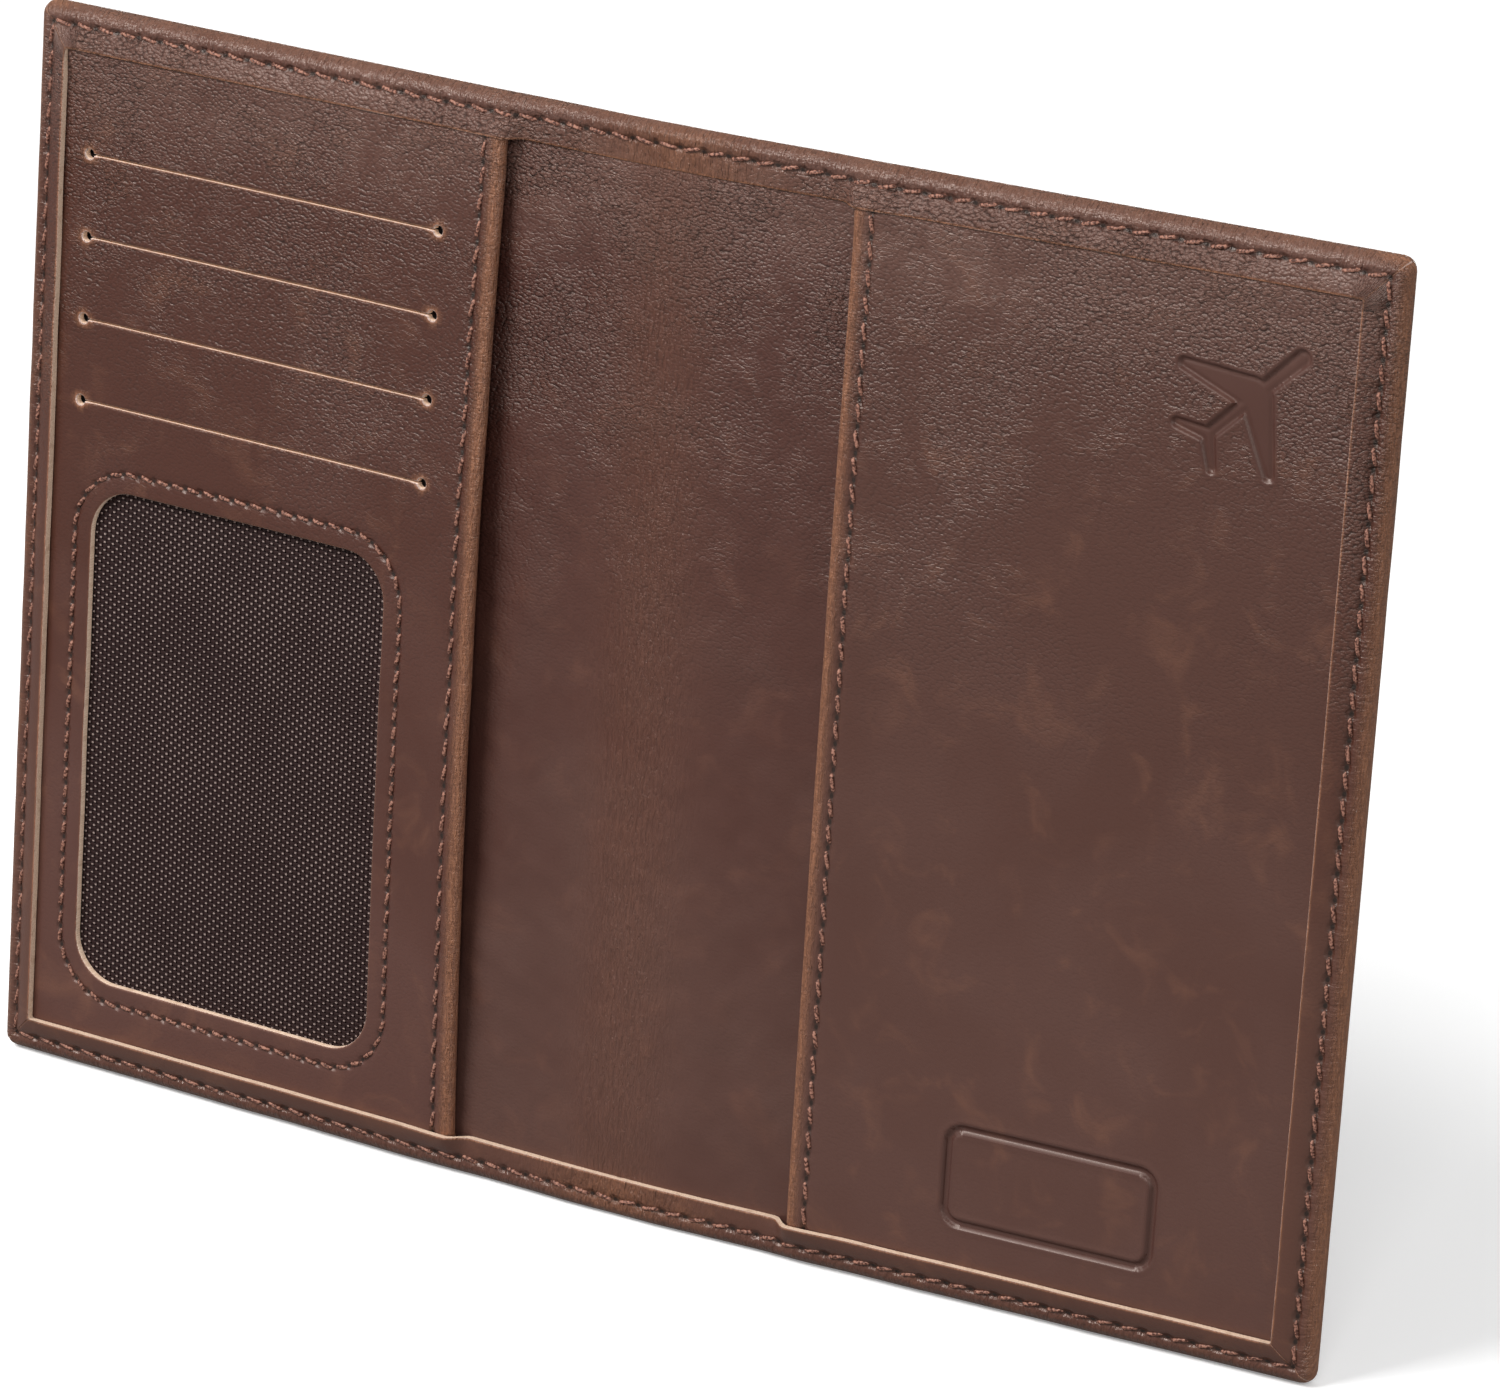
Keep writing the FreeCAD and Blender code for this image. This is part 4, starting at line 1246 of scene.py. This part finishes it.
# --- Window mesh and pocket liners ------------------------------------------------------------------
def weave(name, side, box, front):
    """A plain weave over a flat box, set at a depth given by front(u, z)."""
    piece = Piece()
    upright = (WARP_PITCH, WEFT_PITCH, 0.2, 6, 3, 1)
    level = (WEFT_PITCH, WARP_PITCH, 0.25, 4, 2, -1)
    for pitch, crossing, half_width, sides, detail, sign in (upright, level):
        low, high = (box[LOW][[U, Z]], box[HIGH][[U, Z]])
        if sign < 0:
            low, high = low[::-1], high[::-1]
        count = int((high[0] - low[0]) / pitch)
        steps = int((high[1] - low[1]) / crossing) * detail + 1
        across = low[0] + pitch * (np.arange(count) + 0.5)
        along = low[1] + crossing / detail * np.arange(steps)
        turn = np.arange(sides) * 2 * math.pi / sides + math.pi / 2
        crossings = (along[None, :] - low[1]) / crossing - 0.5 + np.arange(count)[:, None]
        wave = np.cos(math.pi * crossings) * sign
        rise = YARN_HALF_THICK * 1.2 * wave
        a = across[:, None, None] + half_width * np.cos(turn)[None, None, :] + 0 * along[None, :, None]
        b = along[None, :, None] + 0 * a
        u, z = (a, b) if sign > 0 else (b, a)
        w = front(u, z) + rise[:, :, None] + YARN_HALF_THICK * np.sin(turn)[None, None, :]
        # painted highlight: the upright yarns' crowns are marked to be pale
        crown = np.clip(wave, 0, 1)[:, :, None] * (np.sin(turn) > 0.4)[None, None, :] * (sign > 0)
        block = np.stack([u * side, w, z], axis=-1)
        faces = tube_faces(steps, sides)
        for yarn, rubbed_and_lit in zip(block, crown):
            piece.add(yarn.reshape(-1, 3), faces, wear=rubbed_and_lit.reshape(-1) / CROWN_SHARE)
    return piece.make(name, [MESH_YARN], 80.0)


def window_mesh():
    behind = PANEL + 0.3
    return weave("woven_window_mesh", LEFT, MESH_BOX, lambda u, z: panel_front(LEFT, u, z) - behind)


def pocket_liner(node, box, index, side):
    """A thin cloth sheet behind a panel that follows the panel's bow."""
    us = np.linspace(box[LOW][U], box[HIGH][U], 26)
    zs = np.linspace(box[LOW][Z], box[HIGH][Z], 40)
    behind = PANEL + 0.62 + 0.05 * index

    def front(u, z):
        return panel_front(side, u, z) - behind + 0.03 * waves(u, z, 12, 40 + index)

    name = node.replace("liner", "cloth").replace("lining", "cloth")
    return slab(name, side, us, zs, front, LINER_THICKNESS, POCKET_FABRIC)


# --- Stitches ---------------------------------------------------------------------------------------
def stitch_template(length):
    """One stitch lying along +a: points (along, across, up) and faces. Its ends dive into the leather."""
    rings, sides = 13, 8
    points = []
    for ring in range(rings):
        share = 2 * ring / (rings - 1) - 1
        along = share * length / 2
        fade = math.sqrt(max(1 - abs(share) ** 5, 0.04))
        height = 0.14 - 0.34 * abs(share) ** 4
        for index in range(sides):
            turn = 2 * math.pi * index / sides
            twist = 1 + 0.13 * math.cos(2 * turn + 2 * math.pi * along / 0.95)
            radius = THREAD_RADIUS * fade * twist
            points.append((along, radius * math.cos(turn), height + radius * 0.9 * math.sin(turn)))
    return np.array(points), tube_faces(rings, sides)


def stitching(name, side, rows, random_seed):
    """Stitches along rows of places. Each row is (places, length, surface, towards_inside), where a
    place is (u, z, angle) and surface(u, z) is the leather's depth."""
    random = np.random.default_rng(random_seed)
    piece = Piece()
    for places, length, surface, inside in rows:
        template, faces = stitch_template(length)
        facing = 1 if inside else -1
        for u, z, angle in places:
            heading = math.radians(angle + STITCH_SLANT + random.uniform(-3, 3))
            sunk = random.uniform(-0.05, 0.03)
            across_u = u + template[:, 0] * math.cos(heading) - template[:, 1] * math.sin(heading)
            up_z = z + template[:, 0] * math.sin(heading) + template[:, 1] * math.cos(heading)
            w = surface(across_u, up_z) + facing * (template[:, 2] + sunk)
            piece.add(np.stack([across_u * side, w, up_z], axis=1), faces)
    return piece.make(name, [THREAD], 80.0)


def between_holes(start, end):
    """The middles of the stitches along a straight seam."""
    count = round(abs(end - start) / STITCH_PITCH)
    return [start + (end - start) * (index + 0.5) / count for index in range(count)]


def perimeter_places():
    """Stitch places round a half's seam, as (u, z, angle): one between each pair of holes."""
    far = HALF_WIDTH - SEAM_INSET
    high = HEIGHT - SEAM_INSET
    top = [(u, high, 0) for u in between_holes(0, far)]
    outer_side = [(far, z, 90) for z in between_holes(high, SEAM_INSET)]
    bottom = [(u, SEAM_INSET, 0) for u in between_holes(0, far)]
    return top + outer_side + bottom


def perimeter_stitching(side):
    places = perimeter_places()
    inside = (places, STITCH_LENGTH, lambda u, z: hem_front(SEAM_INSET, u) - SEAM_DIP * 0.75, True)
    outside = (places, STITCH_LENGTH, lambda u, z: SEAM_DIP * 0.4 + fold_crease(u), False)
    return stitching(SIDE_NAME[side] + "_edge_thread", side, [inside, outside], 3 + side)


def panel_edge_stitching(side, name):
    heights = between_holes(HEM_BOTTOM, HEIGHT - HEM_TOP)
    places = [(PANEL_EDGE + PANEL_SEAM, z, 90) for z in heights]
    row = (places, STITCH_LENGTH, lambda u, z: panel_front(side, u, z) - SEAM_DIP * 0.55, True)
    return stitching(name, side, [row], 17 + side)


def window_stitching():
    """Stitches at even steps along an outline round the window."""
    path, gone = window_path()
    count = round(gone[-1] / WINDOW_PITCH)
    places = []
    for index in range(count):
        middle = gone[-1] * (index + 0.5) / count
        ahead = (middle + 0.3) % gone[-1]
        u, z = (np.interp(middle, gone, path[:, axis]) for axis in (0, 1))
        next_u, next_z = (np.interp(ahead, gone, path[:, axis]) for axis in (0, 1))
        places.append((u, z, math.degrees(math.atan2(next_z - z, next_u - u))))
    row = (places, WINDOW_STITCH, lambda u, z: panel_front(LEFT, u, z) - SEAM_DIP * 0.5, True)
    return stitching("window_thread", LEFT, [row], 29)


# --- Assembly ---------------------------------------------------------------------------------------
def bend_over_fold(obj):
    """Bakes a piece's transform into its points."""
    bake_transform(obj)


def build_halves():
    """The pieces that run over a fold line. The left ones also stand for the spine's nodes."""
    leathers = {side: outer_leather(side) for side in (LEFT, RIGHT)}
    linings = {side: lining(side) for side in (LEFT, RIGHT)}
    share_seam_normals(leathers[LEFT], leathers[RIGHT])
    share_seam_normals(linings[LEFT], linings[RIGHT])
    for side in (LEFT, RIGHT):
        threads = perimeter_stitching(side)
        for obj, node, spine_node, slot_name in (
                (leathers[side], "_cover_leather", "spine_leather", "cover_leather"),
                (linings[side], "_lining", "spine_lining", "lining_leather"),
                (threads, "_perimeter_stitching", "spine_stitching", "thread")):
            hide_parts(SIDE_NAME[side] + node, *([spine_node] if side == LEFT else []))
            bend_over_fold(obj)


def settle(obj, side, node):
    """Rides a piece on its cover, in place of its CAD node."""
    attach(obj, SIDE_NAME[side] + "_cover")
    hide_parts(node)


def build_covers():
    """The pieces that belong to one cover alone."""
    settle(card_panel(), LEFT, "card_panel")
    settle(window_mesh(), LEFT, "window_mesh")
    settle(window_stitching(), LEFT, "window_stitching")
    settle(panel_edge_stitching(LEFT, "card_panel_thread"), LEFT, "card_panel_edge_stitching")
    for index, node in enumerate(LINERS):
        cloth = pocket_liner(node, LINER_BOXES[index], len(LINERS) - index, LEFT)
        settle(cloth, LEFT, node)
    settle(passport_panel(), RIGHT, "passport_panel")
    settle(panel_edge_stitching(RIGHT, "passport_panel_thread"), RIGHT, "passport_panel_edge_stitching")
    settle(pocket_liner("passport_pocket_lining", PASSPORT_LINING_BOX, 0, RIGHT), RIGHT,
           "passport_pocket_lining")
    for side in (LEFT, RIGHT):
        board = frame["nodes"][SIDE_NAME[side] + "_stiffener_board"]
        board.data.materials.clear()
        board.data.materials.append(FIBRE_BOARD)


# --- Stage ------------------------------------------------------------------------------------------
WHITE = (1.0, 1.0, 1.0, 1.0)
FLOOR_REACH = 6.0                         # m from the middle to each side
FLOOR_DROP = 0.2 * MM
FLOOR_SEEN = (0.96, 0.96, 0.96, 1.0)
FLOOR_BOUNCE = (0.33, 0.325, 0.32, 1.0)
FLOOR_GLOW = 0.21
WORLD_SEEN = 1.1
WORLD_LIGHT = 0.32
LAMP_AIM = (0, 0, 0.07)
CAMERA_ANGLES = (28.29, 17.34, 3.74)      # degrees to the right, up, and of tip
CAMERA_AIM = (14.6, 0, 74.8)              # mm
CAMERA_DISTANCE = 1016.0
LENS = 189.2
SENSOR = 36.0


def floor():
    """A pale floor. Light it throws back is held down, as if black cards stood round the set."""
    signs = ((-1, -1), (1, -1), (1, 1), (-1, 1))
    corners = [(x * FLOOR_REACH, y * FLOOR_REACH, -FLOOR_DROP) for x, y in signs]
    mesh = bpy.data.meshes.new("floor")
    mesh.from_pydata(corners, [], [(0, 1, 2, 3)])
    plane = bpy.data.objects.new("floor", mesh)
    bpy.context.scene.collection.objects.link(plane)
    shader = Shader("pale_floor")
    seen = shader.node("ShaderNodeLightPath").outputs["Is Camera Ray"]
    tone = shader.mix(seen, FLOOR_BOUNCE, FLOOR_SEEN)
    mesh.materials.append(shader.finish(tone, 0.9, None, Specular_IOR_Level=0.0, Emission_Color=WHITE,
                                        Emission_Strength=shader.times(seen, FLOOR_GLOW)))


def area_light(name, place, size, power):
    light = bpy.data.lights.new(name, "AREA")
    light.shape = "RECTANGLE"
    light.size, light.size_y = size
    light.energy = power
    lamp = bpy.data.objects.new(name, light)
    bpy.context.scene.collection.objects.link(lamp)
    lamp.location = place
    lamp.visible_camera = False
    lamp.rotation_mode = "QUATERNION"
    lamp.rotation_quaternion = (Vector(LAMP_AIM) - Vector(place)).to_track_quat("-Z", "Y")


def lights():
    """A bright backdrop that only the camera sees at full strength, and five soft lamps."""
    world = bpy.data.worlds.new("studio")
    world.use_nodes = True
    nodes = world.node_tree.nodes
    path = nodes.new("ShaderNodeLightPath")
    strength = nodes.new("ShaderNodeMapRange")
    strength.inputs["To Min"].default_value = WORLD_LIGHT
    strength.inputs["To Max"].default_value = WORLD_SEEN
    world.node_tree.links.new(path.outputs["Is Camera Ray"], strength.inputs["Value"])
    world.node_tree.links.new(strength.outputs[0], nodes["Background"].inputs["Strength"])
    nodes["Background"].inputs["Color"].default_value = WHITE
    bpy.context.scene.world = world
    area_light("key", (-0.48, -0.75, 0.85), (0.6, 0.5), 14.8)
    area_light("top", (-0.1, 0.2, 1.1), (0.5, 0.3), 1.2)
    area_light("back", (-0.4, 1.2, 0.15), (0.9, 0.2), 5.0)
    area_light("front", (0.5, -1.1, 0.85), (0.3, 0.3), 4.0)
    area_light("side", (1.1, -0.25, 0.5), (0.5, 0.8), 3.0)


def camera():
    """A long lens to the right of the wallet and above it, tipped a little."""
    azimuth, elevation, tip = (math.radians(angle) for angle in CAMERA_ANGLES)
    data = bpy.data.cameras.new("camera")
    data.sensor_width = SENSOR
    data.lens = LENS
    data.clip_start, data.clip_end = 0.05, 20.0
    cam = bpy.data.objects.new("camera", data)
    bpy.context.scene.collection.objects.link(cam)
    back = Vector((math.sin(azimuth) * math.cos(elevation), -math.cos(azimuth) * math.cos(elevation),
                   math.sin(elevation)))
    level = Vector((math.cos(azimuth), math.sin(azimuth), 0))
    right = Matrix.Rotation(tip, 3, back) @ level
    axes = Matrix((right, back.cross(right), back)).transposed()
    place = Vector(CAMERA_AIM) * MM + back * CAMERA_DISTANCE * MM
    cam.matrix_world = Matrix.Translation(place) @ axes.to_4x4()
    bpy.context.scene.camera = cam


build_halves()
build_covers()
floor()
lights()
camera()
bpy.context.scene.view_settings.view_transform = "Standard"
